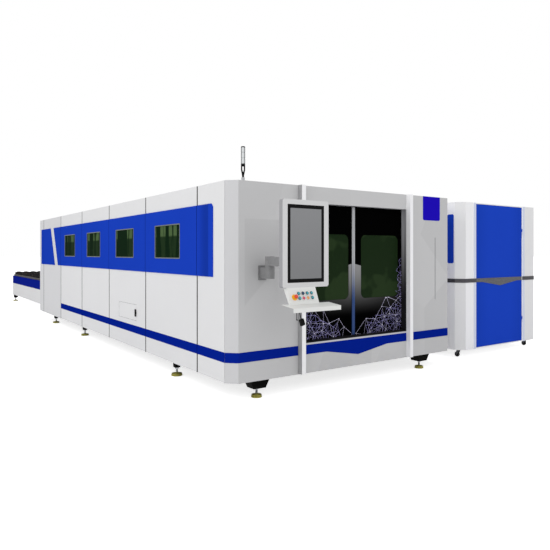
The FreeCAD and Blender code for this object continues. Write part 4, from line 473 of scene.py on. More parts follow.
PLASTIC_YELLOW = Coating("moulded_yellow", tone(236, 172, 28), 0.36, coat=0.15, dust=0.0)
PLASTIC_TEAL = Coating("moulded_teal", tone(16, 70, 84), 0.32, coat=0.2, dust=0.0)
PLASTIC_NAVY = Coating("moulded_navy", tone(12, 28, 52), 0.32, coat=0.2, dust=0.0)
LENS_TEAL = Coating("button_lens_teal", tone(58, 160, 172), 0.3, coat=0.2, dust=0.0)
LENS_NAVY = Coating("button_lens_navy", tone(22, 60, 96), 0.3, coat=0.2, dust=0.0)
PLASTIC_PINK = Coating("lamp_pink", tone(196, 78, 104), 0.3, coat=0.2, dust=0.0)
PLASTIC_AMBER = Coating("lamp_amber", tone(216, 148, 88), 0.3, coat=0.2, dust=0.0)
LAMP_POST = Coating("lamp_post_grey", tone(178, 179, 181), 0.45, specular=0.2)
RUBBER = Coating("dark_rubber", tone(26, 26, 27), 0.62, specular=0.1, dust=0.2, peel_scale=700.0)
UNIT_GREY = Coating("unit_grey_coat", tone(150, 152, 156), 0.45)
WEB_LINE = Coating(
    "printed_line", tone(206, 203, 232), 0.5, specular=0.0, mottle=0.3, mottle_scale=18.0, dust=0.0
)
WEB_FINE = Coating(
    "printed_fine_line", tone(186, 180, 246), 0.5, specular=0.0, mottle=0.5, mottle_scale=14.0, dust=0.0
)
WEB_KNOT = Coating("printed_knot", tone(232, 230, 246), 0.5, specular=0.05, dust=0.0)


class Finishes:
    """Makes each material once and hands it out."""

    def __init__(self, effects: Effects) -> None:
        """Start with no materials.

        Args:
            effects: The shared shader groups.
        """
        self.effects = effects
        self.made: dict[str, Material] = {}

    def _start(self, name: str) -> tuple[Material, Weaver, Node]:
        """Make an empty material.

        Args:
            name: The material's name.

        Returns:
            The material, a weaver on it and its Principled node.
        """
        material = bpy.data.materials.new(name)
        weaver = Weaver.on(material)
        surface = weaver.add("ShaderNodeBsdfPrincipled")
        output = weaver.add("ShaderNodeOutputMaterial")
        weaver.feed(surface.outputs["BSDF"], output.inputs["Surface"])
        self.made[name] = material
        return material, weaver, surface

    @staticmethod
    def _bump(weaver: Weaver, surface: Node, height: NodeSocket, depth: float) -> None:
        """Raise a surface by a height.

        Args:
            weaver: The material's weaver.
            surface: Its Principled node.
            height: A value from 0 to 1.
            depth: The height of 1, in metres.
        """
        bump = weaver.add("ShaderNodeBump")
        bump.inputs["Strength"].default_value = 0.6
        bump.inputs["Distance"].default_value = depth
        weaver.feed(height, bump.inputs["Height"])
        weaver.feed(bump.outputs["Normal"], surface.inputs["Normal"])

    @staticmethod
    def _gloss(weaver: Weaver, surface: Node, pattern: NodeSocket, middle: float, spread: float) -> None:
        """Let a pattern vary a surface's roughness.

        Args:
            weaver: The material's weaver.
            surface: Its Principled node.
            pattern: A value from 0 to 1.
            middle: The roughness where the pattern is 0.5.
            spread: How much the roughness changes from 0 to 1.
        """
        rough = weaver.math("MULTIPLY_ADD", pattern, spread, middle - spread / 2)
        weaver.feed(rough, surface.inputs["Roughness"])

    def _relief(self, weaver: Weaver, surface: Node, relief: Relief, roughness: float) -> None:
        """Lay a fine pattern on a surface, in height and in gloss.

        Args:
            weaver: The material's weaver.
            surface: Its Principled node.
            relief: The pattern.
            roughness: The surface's mean roughness.
        """
        pattern = self.effects.place(weaver, relief.effect, Scale=relief.scale)
        self._gloss(weaver, surface, pattern, roughness, relief.spread)
        self._bump(weaver, surface, pattern, relief.depth)

    def coating(self, spec: Coating) -> Material:
        """Give the material of a coating.

        Args:
            spec: The coating.

        Returns:
            Its material.
        """
        if spec.name in self.made:
            return self.made[spec.name]
        material, weaver, surface = self._start(spec.name)
        colour = self.effects.place(
            weaver, "mottle", Colour=spec.colour, Scale=spec.mottle_scale, Amount=spec.mottle
        )
        if spec.dust:
            mask = self.effects.place(weaver, "dust", Amount=spec.dust)
            colour = weaver.mix(mask, colour, DUST)
        weaver.feed(colour, surface.inputs["Base Color"])
        surface.inputs["Metallic"].default_value = spec.metallic
        surface.inputs["Specular IOR Level"].default_value = spec.specular
        surface.inputs["Coat Weight"].default_value = spec.coat
        relief = BRUSHED if spec.brushed else Relief(scale=spec.peel_scale, depth=spec.peel)
        self._relief(weaver, surface, relief, spec.roughness)
        return material

    def glass(self, name: str, pale: Colour, deep: Colour, fade_at: float, grain: Point) -> Material:
        """Give a dark tinted pane that mirrors the hall in soft blocks.

        Args:
            name: The material's name.
            pale: Linear tint of the paler blocks.
            deep: Linear tint of the darker blocks.
            fade_at: Height under which the paler blocks fade.
            grain: How the blocks are stretched along x, y and z.

        Returns:
            The material.
        """
        softness, faded = 0.015, 0.14
        material, weaver, surface = self._start(name)
        blocks = weaver.ramp(weaver.noise(weaver.stretched(weaver.spot(), grain), 1.0), 0.52, 0.58)
        upper = weaver.ramp(weaver.along(Axis.Z), fade_at - softness, fade_at + softness)
        lift = weaver.math("MULTIPLY_ADD", upper, 1.0 - faded, faded)
        tint = weaver.mix(weaver.math("MULTIPLY", blocks, lift), deep, pale)
        weaver.feed(tint, surface.inputs["Base Color"])
        surface.inputs["Roughness"].default_value = 0.1
        surface.inputs["Specular IOR Level"].default_value = 0.0
        surface.inputs["Transmission Weight"].default_value = 0.03
        return material

    def band(self, start: float) -> Material:
        """Give the blue band, darker in a field near its front end.

        Args:
            start: Where the band starts, in y.

        Returns:
            The material.
        """
        name, base = "band_blue_coat", tone(26, 62, 181)
        return self._blue(name, base, 0.72, Axis.Y, (start + 0.09, start + 0.37), (0.012, 0.22))

    def cabinet_blue(self, left: float, right: float) -> Material:
        """Give the cabinet door's blue, a little darker towards both upright edges.

        Args:
            left: The door's left edge, in x.
            right: Its right edge.

        Returns:
            The material.
        """
        rim = min(0.45 * (right - left), 0.35)
        name, base = "cabinet_blue_coat", tone(29, 66, 184)
        return self._blue(name, base, 1.10, Axis.X, (left, right), (rim, rim))

    def _blue(
        self,
        name: str,
        base: Colour,
        gain: float,
        axis: Axis,
        span: tuple[float, float],
        rims: tuple[float, float],
    ) -> Material:
        """Give a deep matt blue whose strength changes inside a field.

        Args:
            name: The material's name.
            base: The colour outside the field.
            gain: The colour's factor in the field's middle.
            axis: The axis across the field.
            span: Where the field starts and ends.
            rims: Over which lengths it grows at its start and fades at its end.

        Returns:
            The material.
        """
        if name in self.made:
            return self.made[name]
        material, weaver, surface = self._start(name)
        across = weaver.along(axis)
        rising = weaver.ramp(across, span[0], span[0] + rims[0])
        falling = weaver.ramp(across, span[1], span[1] - rims[1])
        mask = weaver.math("MULTIPLY", rising, falling)
        strong = tuple(min(1.0, channel * gain) for channel in base)
        mottled = self.effects.place(
            weaver, "mottle", Colour=weaver.mix(mask, base, strong), Scale=0.7, Amount=0.12
        )
        weaver.feed(mottled, surface.inputs["Base Color"])
        surface.inputs["Specular IOR Level"].default_value = 0.0
        self._relief(weaver, surface, SPRAYED, 0.55)
        return material

    def screen(self) -> Material:
        """Give the sleeping display: an even grey with a faint fall-off."""
        material, weaver, surface = self._start("display_glass")
        lower_edge, upper_edge = 1.25, 1.90
        fade = weaver.ramp(weaver.along(Axis.Z), lower_edge, upper_edge)
        shade = weaver.mix(fade, tone(122, 123, 125), tone(132, 133, 135))
        weaver.feed(shade, surface.inputs["Base Color"])
        surface.inputs["Roughness"].default_value = 0.26
        surface.inputs["Specular IOR Level"].default_value = 0.12
        return material

    def front_skin(self, corner: float) -> Material:
        """Give the pale grey front coat, with wide, faint facets of reflected hall.

        A slightly darker field, the console's painted shadow, lies on the left cover, above a line that
        rises to the right.

        Args:
            corner: The enclosure's left edge, in x.

        Returns:
            The material.
        """
        left, right, upper = (0.166, 0.180), (0.80, 0.60), (1.852, 1.836)
        line, line_rise = (0.79, 0.82), 0.958
        material, weaver, surface = self._start("front_grey_coat")
        place = weaver.spot()
        x, _, z = weaver.split(place)
        cells = weaver.add("ShaderNodeTexVoronoi", feature="F1")
        weaver.feed(weaver.stretched(place, (1.0, 1.0, 0.7)), cells.inputs["Vector"])
        cells.inputs["Scale"].default_value = 1.3
        shade = weaver.add("ShaderNodeSeparateColor")
        weaver.feed(cells.outputs["Color"], shade.inputs[0])
        across = weaver.math("SUBTRACT", x, corner)
        above = weaver.math("MULTIPLY_ADD", across, -line_rise, z)
        level = weaver.math("MULTIPLY", weaver.ramp(across, *left), weaver.ramp(across, *right))
        upright = weaver.math("MULTIPLY", weaver.ramp(z, *upper), weaver.ramp(above, *line))
        light = weaver.mix(shade.outputs[0], tone(187, 187, 188), tone(195, 195, 196))
        # Painted shadow: the console's shadow is the darker field on the left cover.
        colour = weaver.mix(weaver.math("MULTIPLY", level, upright), light, tone(185, 185, 186))
        mottled = self.effects.place(weaver, "mottle", Colour=colour, Scale=0.9, Amount=0.05)
        weaver.feed(mottled, surface.inputs["Base Color"])
        surface.inputs["Specular IOR Level"].default_value = 0.12
        self._relief(weaver, surface, SPRAYED, 0.45)
        return material

    def lining(self, low: float, high: float) -> Material:
        """Give the doorway's glossy lining, with painted light that grows towards its top and painted
        reflections streaked from top to bottom.

        Args:
            low: Height where it is darkest.
            high: Height where it is palest.

        Returns:
            The material.
        """
        material, weaver, surface = self._start("doorway_lining")
        # Painted light grows towards the top; the pale streaks are painted reflections.
        rise = weaver.ramp(weaver.along(Axis.Z), low, high)
        streaks = weaver.noise(weaver.stretched(weaver.spot(), (70.0, 70.0, 0.5)), 1.0)
        pale = weaver.mix(weaver.ramp(streaks, 0.38, 0.62), tone(128, 128, 131), tone(178, 178, 181))
        weaver.feed(weaver.mix(rise, tone(30, 30, 32), pale), surface.inputs["Base Color"])
        surface.inputs["Roughness"].default_value = 0.34
        surface.inputs["Specular IOR Level"].default_value = 0.1
        self._bump(weaver, surface, streaks, 0.0001)
        return material

    def meeting_bar(self) -> Material:
        """Give the silver bar between the leaves, which mirrors blue in its lower half."""
        material, weaver, surface = self._start("meeting_bar")
        silver_above, blue_below = 1.46, 0.92
        low = weaver.ramp(weaver.along(Axis.Z), silver_above, blue_below)
        streaks = weaver.noise(weaver.stretched(weaver.spot(), (160.0, 160.0, 1.2)), 1.0)
        bands = weaver.ramp(streaks, 0.35, 0.65)
        cool = weaver.mix(bands, tone(24, 46, 92), tone(44, 78, 134))
        silver = weaver.mix(bands, tone(132, 133, 136), tone(184, 185, 188))
        weaver.feed(weaver.mix(low, silver, cool), surface.inputs["Base Color"])
        surface.inputs["Metallic"].default_value = 0.2
        surface.inputs["Specular IOR Level"].default_value = 0.2
        self._relief(weaver, surface, DRAWN, 0.44)
        return material

    def lamp_tube(self) -> Material:
        """Give the frosted lamp tube: pale where it faces the viewer, dark along its outline."""
        material, weaver, surface = self._start("frosted_tube")
        facing = weaver.add("ShaderNodeLayerWeight")
        facing.inputs["Blend"].default_value = 0.5
        edge = weaver.ramp(facing.outputs["Facing"], 0.14, 0.42)
        haze = weaver.mix(weaver.noise(weaver.spot(), 60.0), tone(196, 199, 200), tone(214, 217, 218))
        weaver.feed(weaver.mix(edge, haze, tone(52, 54, 56)), surface.inputs["Base Color"])
        surface.inputs["Roughness"].default_value = 0.3
        surface.inputs["Specular IOR Level"].default_value = 0.2
        return material

    def slats(self) -> Material:
        """Give burnt, scaled slat steel, near black with rust and bright flecks of bare metal."""
        material, weaver, surface = self._start("scaled_slat_steel")
        place = weaver.spot()
        patches = weaver.ramp(weaver.noise(place, 14.0, 6.0), 0.46, 0.7)
        fleck = weaver.ramp(weaver.noise(place, 90.0), 0.66, 0.74)
        scaled = weaver.mix(patches, tone(34, 34, 36), tone(66, 52, 44))
        colour = weaver.mix(weaver.math("MULTIPLY", fleck, 0.7), scaled, tone(176, 172, 166))
        weaver.feed(colour, surface.inputs["Base Color"])
        surface.inputs["Metallic"].default_value = 0.2
        surface.inputs["Specular IOR Level"].default_value = 0.15
        self._gloss(weaver, surface, patches, 0.65, 0.2)
        self._bump(weaver, surface, weaver.noise(place, 160.0, 3.0), 0.0004)
        return material

    def belt(self, name: str, colour: Colour) -> Material:
        """Give a woven, pressed vinyl strip.

        Args:
            name: The material's name.
            colour: Linear colour of the raised threads.

        Returns:
            The material.
        """
        material, weaver, surface = self._start(name)
        weave = weaver.add("ShaderNodeTexVoronoi", feature="F1", distance="CHEBYCHEV")
        weaver.feed(weaver.spot(), weave.inputs["Vector"])
        weave.inputs["Scale"].default_value = 130.0
        weave.inputs["Randomness"].default_value = 0.35
        gap = weaver.ramp(weave.outputs["Distance"], 0.15, 0.55)
        dark = tuple(channel * 0.35 for channel in colour)
        weaver.feed(weaver.mix(gap, colour, dark), surface.inputs["Base Color"])
        surface.inputs["Roughness"].default_value = 0.6
        surface.inputs["Specular IOR Level"].default_value = 0.3
        self._bump(weaver, surface, weaver.math("SUBTRACT", 1.0, gap), 0.0012)
        return material

    def door_skin(self, centre: float) -> Material:
        """Give the doors' black skin, with a grey field that fades downwards and outwards.

        Args:
            centre: Where the leaves meet, in x.

        Returns:
            The material.
        """
        rise, fade_power, outwards = (0.74, 1.40), 1.15, (1.05, 0.04)
        upper_edge, edge_fall = 1.375, 0.22
        material, weaver, surface = self._start("door_skin")
        x, _, z = weaver.split(weaver.spot())
        across = weaver.math("ABSOLUTE", weaver.math("SUBTRACT", x, centre))
        fade = weaver.math("POWER", weaver.ramp(z, *rise), fade_power)
        slant = weaver.math("MULTIPLY_ADD", across, edge_fall, z)
        cut = weaver.math("LESS_THAN", slant, upper_edge)
        near = weaver.ramp(across, *outwards)
        glow = weaver.math("MULTIPLY", weaver.math("MULTIPLY", fade, cut), near)
        weaver.feed(weaver.mix(glow, tone(3, 3, 3), tone(140, 140, 141)), surface.inputs["Base Color"])
        surface.inputs["Specular IOR Level"].default_value = 0.0
        self._relief(weaver, surface, SMOOTH_SPRAYED, 0.40)
        return material


# ---------------------------------------------------------------- modelling


class Bench:
    """Modelling steps that every sub-assembly uses."""

    def __init__(self, frame: dict) -> None:
        """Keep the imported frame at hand.
        """
        self.nodes: dict[str, Object] = frame["nodes"]
        self.body_of: dict[str, str] = {
            node: body
            for body, members in frame["record"]["behaviour"]["bodies"].items()
            for node in members
        }
        self.slot_of: dict[str, str] = {
            entry["node"]: entry["material_slot"] for entry in frame["record"]["subparts"]
        }

    @staticmethod
    def only(piece: Object) -> None:
        """Select one object and make it active."""
        bpy.ops.object.select_all(action="DESELECT")
        piece.select_set(True)
        bpy.context.view_layer.objects.active = piece

    @staticmethod
    def settle(piece: Object) -> Object:
        """Move a piece's place into its mesh."""
        Bench.only(piece)
        bpy.ops.object.transform_apply(location=True, rotation=True, scale=True)
        return piece

    @staticmethod
    def block(name: str, low: Sequence[float], high: Sequence[float]) -> Object:
        """Add a box between two corners.

        Args:
            name: The piece's name.
            low: Its lowest corner.
            high: Its highest corner.

        Returns:
            The box.
        """
        start, end = Vector(low), Vector(high)
        bpy.ops.object.select_all(action="DESELECT")
        bpy.ops.mesh.primitive_cube_add(size=1.0, location=(start + end) / 2)
        piece = bpy.context.object
        piece.name = name
        piece.scale = end - start
        return Bench.settle(piece)

    @staticmethod
    def turned(
        name: str, outline: Sequence[tuple[float, float]], at: Sequence[float], axis: Axis, steps: int
    ) -> Object:
        """Spin an outline into a turned part.

        Args:
            name: The piece's name.
            outline: Radius and height of each point, from the lower end to the upper.
            at: Where height 0 of the axis lies.
            axis: The axis that the part is turned about.
            steps: Sides round the part.

        Returns:
            The turned part.
        """
        bpy.ops.object.select_all(action="DESELECT")
        bpy.ops.mesh.primitive_plane_add(size=1.0, location=(0, 0, 0))
        piece = bpy.context.object
        piece.name = name
        mesh = piece.data
        mesh.clear_geometry()
        points = [(radius, 0.0, height) for radius, height in outline]
        mesh.from_pydata(points, [(n, n + 1) for n in range(len(points) - 1)], [])
        Bench.edit_all()
        bpy.ops.mesh.spin(steps=steps, angle=math.tau, center=(0, 0, 0), axis=(0, 0, 1))
        bpy.ops.mesh.select_all(action="SELECT")
        bpy.ops.mesh.remove_doubles(threshold=1e-5)
        bpy.ops.mesh.normals_make_consistent(inside=False)
        Bench.leave_edit()
        if axis is Axis.X:
            piece.rotation_euler = (0, math.pi / 2, 0)
        elif axis is Axis.Y:
            piece.rotation_euler = (-math.pi / 2, 0, 0)
        piece.location = at
        Bench.settle(piece)
        return Bench.smooth(piece)

    @staticmethod
    def pick_faces(piece: Object, test: FaceTest) -> None:
        """Open a piece's mesh with the faces selected that pass a test of centre and normal."""
        Bench.only(piece)
        bpy.ops.object.mode_set(mode="EDIT")
        bpy.ops.mesh.select_mode(type="FACE")
        bpy.ops.mesh.select_all(action="DESELECT")
        Bench.leave_edit()
        for face in piece.data.polygons:
            face.select = test(Vector(face.center), Vector(face.normal))
        bpy.ops.object.mode_set(mode="EDIT")

    @staticmethod
    def edit_all() -> None:
        """Open the active piece's mesh with all of it selected."""
        bpy.ops.object.mode_set(mode="EDIT")
        bpy.ops.mesh.select_all(action="SELECT")

    @staticmethod
    def leave_edit() -> None:
        """Go back to object mode."""
        bpy.ops.object.mode_set(mode="OBJECT")

    @staticmethod
    def apply(piece: Object) -> Object:
        """Apply a piece's modifiers in order."""
        Bench.only(piece)
        for modifier in list(piece.modifiers):
            bpy.ops.object.modifier_apply(modifier=modifier.name)
        return piece

    @staticmethod
    def rounded(piece: Object, width: float, segments: int = 2) -> Object:
        """Round a piece's sharp edges.

        Args:
            piece: The piece.
            width: How far the rounding reaches from the edge.
            segments: Steps across the rounding.

        Returns:
            The same piece.
        """
        bevel = piece.modifiers.new("round", "BEVEL")
        bevel.width = width
        bevel.segments = segments
        bevel.limit_method = "ANGLE"
        bevel.angle_limit = math.radians(SHARP_ANGLE)
        bevel.miter_outer = "MITER_ARC"
        Bench.apply(piece)
        return Bench.smooth(piece)

    @staticmethod
    def smooth(piece: Object, angle: float = 32.0) -> Object:
        """Shade a piece smoothly across edges below an angle in degrees, led by its large faces."""
        Bench.only(piece)
        bpy.ops.object.shade_smooth_by_angle(angle=math.radians(angle))
        lead = piece.modifiers.new("lead", "WEIGHTED_NORMAL")
        lead.keep_sharp = True
        return Bench.apply(piece)

    @staticmethod
    def carve(piece: Object, cutter: Object) -> Object:
        """Cut one piece with another, which is used up."""
        cut = piece.modifiers.new("carve", "BOOLEAN")
        cut.operation = "DIFFERENCE"
        cut.solver = "EXACT"
        cut.object = cutter
        Bench.apply(piece)
        bpy.data.objects.remove(cutter)
        return piece

    @staticmethod
    def join(name: str, parts: Iterable[Object]) -> Object:
        """Make one object of several.

        Args:
            name: The joined piece's name.
            parts: The objects.

        Returns:
            The joined piece.
        """
        members = list(parts)
        Bench.only(members[0])
        for part in members[1:]:
            part.select_set(True)
        if len(members) > 1:
            bpy.ops.object.join()
        members[0].name = name
        members[0].data.name = name
        return members[0]

    @staticmethod
    def copies(piece: Object, shifts: Sequence[Point]) -> list[Object]:
        """Copy a piece, each copy with its own mesh, shifted from the first."""
        made = []
        for shift in shifts:
            twin = piece.copy()
            twin.data = piece.data.copy()
            bpy.context.scene.collection.objects.link(twin)
            twin.location = shift
            made.append(Bench.settle(twin))
        return made

    @staticmethod
    def dress(piece: Object, material: Material) -> Object:
        """Cover a whole piece with one material."""
        piece.data.materials.clear()
        piece.data.materials.append(material)
        return piece

    @staticmethod
    def dress_faces(piece: Object, material: Material, test: FaceTest) -> None:
        """Cover only the faces that pass a test of centre and normal."""
        piece.data.materials.append(material)
        index = len(piece.data.materials) - 1
        for face in piece.data.polygons:
            if test(Vector(face.center), Vector(face.normal)):
                face.material_index = index

    def refine(self, node: str, width: float, segments: int = 2) -> Object:
        """Model a node's finer twin: its shape with softened edges, in its place.

        Args:
            node: The CAD node.
            width: Reach of the softened edges.
            segments: Steps across them.

        Returns:
            The twin, named like the node with "_skin" added, which stands for the node.
        """
        source = self.nodes[node]
        piece = source.copy()
        piece.data = source.data.copy()
        piece.name = f"{node}_skin"
        piece.data.name = piece.name
        piece.parent = None
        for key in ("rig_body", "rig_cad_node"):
            del piece[key]
        bpy.context.scene.collection.objects.link(piece)
        self.only(piece)
        self.edit_all()
        bpy.ops.mesh.remove_doubles(threshold=1e-6)
        self.leave_edit()
        self.rounded(piece, width, segments)
        return self.stand_for(piece, node)

    def stand_for(self, piece: Object, node: str, *more: str) -> Object:
        """Let a piece ride on its node's body and be shown in the node's stead.

        Args:
            piece: The piece.
            node: The CAD node it stands for.
            *more: Further nodes it stands for.

        Returns:
            The same piece.
        """
        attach(piece, self.body_of[node])
        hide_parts(node, *more)
        return piece

    def add_to(self, piece: Object, node: str) -> Object:
        """Let an extra piece ride with a node's body."""
        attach(piece, self.body_of[node])
        return piece

    def paint_node(self, node: str, material: Material) -> None:
        """Give a CAD node that stays shown its finish."""
        self.dress(self.nodes[node], material)


# ---------------------------------------------------------------- sub-assemblies


@dataclass
class SubAssembly:
    """Something built from several pieces.

    Attributes:
        bench: The modelling bench.
        finishes: The materials.
        pieces: What has been built.
    """

    bench: Bench
    finishes: Finishes
    pieces: list[Object] = field(default_factory=list)

    def material(self, finish: Finish) -> Material:
        """Give a coating's material; a material stays as it is."""
        return self.finishes.coating(finish) if isinstance(finish, Coating) else finish

    def keep(self, piece: Object, finish: Finish) -> Object:
        """Cover a built piece and note it.

        Args:
            piece: The piece.
            finish: Its coating or material.

        Returns:
            The same piece.
        """
        self.bench.dress(piece, self.material(finish))
        self.pieces.append(piece)
        return piece

    def refine(self, node: str, width: float, finish: Finish, segments: int = 2) -> Object:
        """Model a node's finer twin and cover it."""
        return self.keep(self.bench.refine(node, width, segments), finish)

    def cover(self, piece: Object, finish: Finish, test: FaceTest) -> None:
        """Cover only the faces that pass a test of centre and normal."""
        self.bench.dress_faces(piece, self.material(finish), test)

    def blacken_brackets(self, piece: Object) -> None:
        """Blacken the foot brackets under a welded frame's beams."""
        self.cover(piece, BRACKET_BLACK, lambda centre, normal: centre.z < BRACKET_TOP)

    def report(self) -> None:
        """Log each piece and its size in faces."""
        for piece in self.pieces:
            faces = len(piece.data.polygons) if piece.type == "MESH" else 0
            LOG.info("%s: %d faces", piece.name, faces)


@dataclass
class Enclosure(SubAssembly):
    """The sheet-metal house: side trays, front frame, roof, rear wall and blue covers.

    Attributes:
        fold: Outer radius of a folded edge.
        gauge: Thickness of the sheet.
        panel_depth: Depth of a tray.
        seam: Gap between roof trays.
        joint: Shaded joint between side trays.
        column: Width of the front column.
        chamfer: How far the front corners are cut back.
        blank: Width of the panel without a window.
        end: Width of the rear column.
        windows: Panels with a window on each side.
        roof_trays: Trays in the roof.
        window_size: Width and height of a side window.
        window_low: Height of its lower edge.
        window_shift: How far it sits behind its panel's middle.
        window_corner: Radius of its corners.
        hatch: Service opening: inset in its panel, width, lower edge, height.
        hatch_panel: Which side tray holds it, counted from the front and from 0.
        cut_reach: How far a cutter reaches to each side of the wall's face.
        band_start: How far behind the front the blue band starts.
        stripe_top: Height under which the blue covers are the darker stripes.
        block_low: Height above which the front's blue cover is the corner block.
        opening_width: Width of the doorway.
        lining_span: Heights between which the doorway's lining grows paler, as painted light.
        groove_span: Heights between which the front's slim groove is grey.
        front: Its front face, in y; this place and the five below are read from the frame.
        rear: Its rear face, in y.
        left: Its left face, in x.
        right: Its right face, in x.
        bottom: Height of the side walls' lower edge.
        top: Height of their upper edge.
    """

    fold: float = 3.6 * MM
    gauge: float = 2 * MM
    panel_depth: float = 40 * MM
    seam: float = 8 * MM
    joint: float = 16 * MM
    column: float = 0.604
    chamfer: float = 0.100
    blank: float = 1.524
    end: float = 0.387
    windows: int = 4
    roof_trays: int = 5
    window_size: tuple[float, float] = (0.740, 0.410)
    window_low: float = 1.430
    window_shift: float = 0.050
    window_corner: float = 0.016
    hatch: tuple[float, float, float, float] = (0.326, 0.710, 0.570, 0.220)
    hatch_panel: int = 2
    cut_reach: float = 20 * MM
    band_start: float = 0.339
    stripe_top: float = 0.6
    block_low: float = 1.5
    opening_width: float = 1.636
    lining_span: tuple[float, float] = (0.90, 1.98)
    groove_span: tuple[float, float] = (0.88, 1.71)
    front: float = field(init=False)
    rear: float = field(init=False)
    left: float = field(init=False)
    right: float = field(init=False)
    bottom: float = field(init=False)
    top: float = field(init=False)

    def build(self) -> None:
        """Build every piece of the enclosure."""
        low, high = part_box("side_panels")
        wall_low, wall_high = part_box("rear_wall")
        self.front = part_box("front_portal")[0].y
        self.left = wall_low.x - self.panel_depth
        self.right = wall_high.x + self.panel_depth
        self.rear = wall_high.y
        self.bottom, self.top = low.z, high.z
        self._side_trays()
        self._roof()
        self._front()
        self._rear()
        self._trim()
        self._side_windows()
        self._hatch()

    def _modules(self) -> list[tuple[float, float]]:
        """Give each side tray's start and end in y, from front to rear."""
        start = self.front + self.chamfer
        middle = self.rear - start - self.column - self.blank - self.end
        widths = [self.column] + [middle / self.windows] * self.windows + [self.blank, self.end]
        spans = []
        for width in widths:
            spans.append((start, start + width))
            start += width
        return spans

    def _tray(self, name: str, low: Sequence[float], high: Sequence[float], back: Vector) -> Object:
        """Fold a sheet tray with round outer edges.

        Args:
            name: The tray's name.
            low: Its lowest corner.
            high: Its highest corner.
            back: The direction of its open back.

        Returns:
            The tray.
        """
        tray = self.bench.block(name, low, high)
        self.bench.pick_faces(tray, lambda centre, normal: normal.dot(back) > 0.9)
        bpy.ops.mesh.delete(type="FACE")
        bpy.ops.mesh.select_mode(type="EDGE")
        bpy.ops.mesh.select_all(action="DESELECT")
        bpy.ops.mesh.select_non_manifold()
        bpy.ops.mesh.select_all(action="INVERT")
        bpy.ops.mesh.bevel(offset=self.fold, segments=3, affect="EDGES")
        self.bench.leave_edit()
        wall = tray.modifiers.new("gauge", "SOLIDIFY")
        wall.thickness = self.gauge
        wall.offset = -1.0
        wall.use_even_offset = True
        return self.bench.apply(tray)

    def _window_cutter(self, y: float) -> Object:
        """Make the block with rounded corners that cuts one side window."""
        width, height = self.window_size
        cutter = self.bench.block(
            "window_cutter",
            (self.left - self.cut_reach, y, self.window_low),
            (self.left + self.cut_reach, y + width, self.window_low + height),
        )
        self.bench.only(cutter)
        bpy.ops.object.mode_set(mode="EDIT")
        bpy.ops.mesh.select_mode(type="EDGE")
        bpy.ops.mesh.select_all(action="DESELECT")
        self.bench.leave_edit()
        for edge in cutter.data.edges:
            first, second = (cutter.data.vertices[n].co for n in edge.vertices)
            edge.select = abs(first.x - second.x) > self.cut_reach
        bpy.ops.object.mode_set(mode="EDIT")
        bpy.ops.mesh.bevel(offset=self.window_corner, segments=5, affect="EDGES")
        self.bench.leave_edit()
        return cutter

    def _window_starts(self) -> list[float]:
        """Give the y at which each side window starts."""
        spans = self._modules()[1 : 1 + self.windows]
        return [(a + b) / 2 + self.window_shift - self.window_size[0] / 2 for a, b in spans]

    def _side_trays(self) -> None:
        """Fold the two side walls, and cut the left one's windows and hatch."""
        blank_start = self.rear - self.end - self.blank
        for side, outer, back in (("left", self.left, 1), ("right", self.right, -1)):
            inner = outer + back * self.panel_depth
            trays = []
            for number, (start, end) in enumerate(self._modules()):
                low = (min(outer, inner), start + self.joint / 2, self.bottom)
                high = (max(outer, inner), end - self.joint / 2, self.top)
                trays.append(self._tray(f"{side}_tray_{number}", low, high, Vector((back, 0, 0))))
            wall = self.bench.join(f"{side}_wall_trays", trays)
            if side == "left":
                self._cut_openings(wall)
                self.bench.stand_for(wall, "side_panels")
            else:
                self.bench.add_to(wall, "side_panels")
            self.keep(self.bench.smooth(wall, SHEET_ANGLE), WHITE)
            self.cover(wall, REAR_WHITE, lambda centre, normal: centre.y > blank_start)
            self._shade_seams(wall)

    def _cut_openings(self, wall: Object) -> None:
        """Cut the windows and the service hatch out of the left wall."""
        for start in self._window_starts():
            self.bench.carve(wall, self._window_cutter(start))
        inset, width, sill, height = self.hatch
        begin = self._modules()[self.hatch_panel][0] + inset
        cutter = self.bench.block(
            "hatch_cutter",
            (self.left - self.cut_reach, begin, sill),
            (self.left + self.cut_reach, begin + width, sill + height),
        )
        self.bench.carve(wall, cutter)

    def _shade_seams(self, trays: Object) -> None:
        """Darken the flanges that face one another between trays, but not the outermost ones."""
        first, last = self._modules()[0][0] + self.panel_depth / 2, self.rear - 1.5 * self.panel_depth
        self.cover(
            trays, SEAM_DARK, lambda centre, normal: abs(normal.y) > 0.2 and first < centre.y < last
        )

    def _roof(self) -> None:
        """Lay the roof trays between the walls."""
        low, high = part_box("roof_panels")
        pitch = (high.y - low.y) / self.roof_trays
        trays = []
        for number in range(self.roof_trays):
            start = low.y + pitch * number + (self.seam / 2 if number else 0)
            tray = self._tray(
                f"roof_tray_{number}",
                (low.x, start, low.z),
                (high.x, low.y + pitch * (number + 1), high.z),
                Vector((0, 0, -1)),
            )
            if number == 0:
                self._cut_front_corners(tray, low, high)
            trays.append(tray)
        roof = self.bench.join("roof_trays", trays)
        self.bench.stand_for(roof, "roof_panels")
        self.keep(self.bench.smooth(roof, SHEET_ANGLE), WHITE)
        self._shade_seams(roof)

    def _cut_front_corners(self, tray: Object, low: Vector, high: Vector) -> None:
        """Bisect the first roof tray where the front covers turn the corner."""
        reach = self.chamfer - self.panel_depth + self.panel_depth * math.tan(math.radians(22.5))
        for x, sign in ((low.x, -1), (high.x, 1)):
            self.bench.only(tray)
            self.bench.edit_all()
            bpy.ops.mesh.bisect(
                plane_co=(x - sign * reach, low.y, high.z),
                plane_no=(sign, -1, 0),
                use_fill=True,
                clear_outer=True,
                clear_inner=False,
            )
            self.bench.leave_edit()

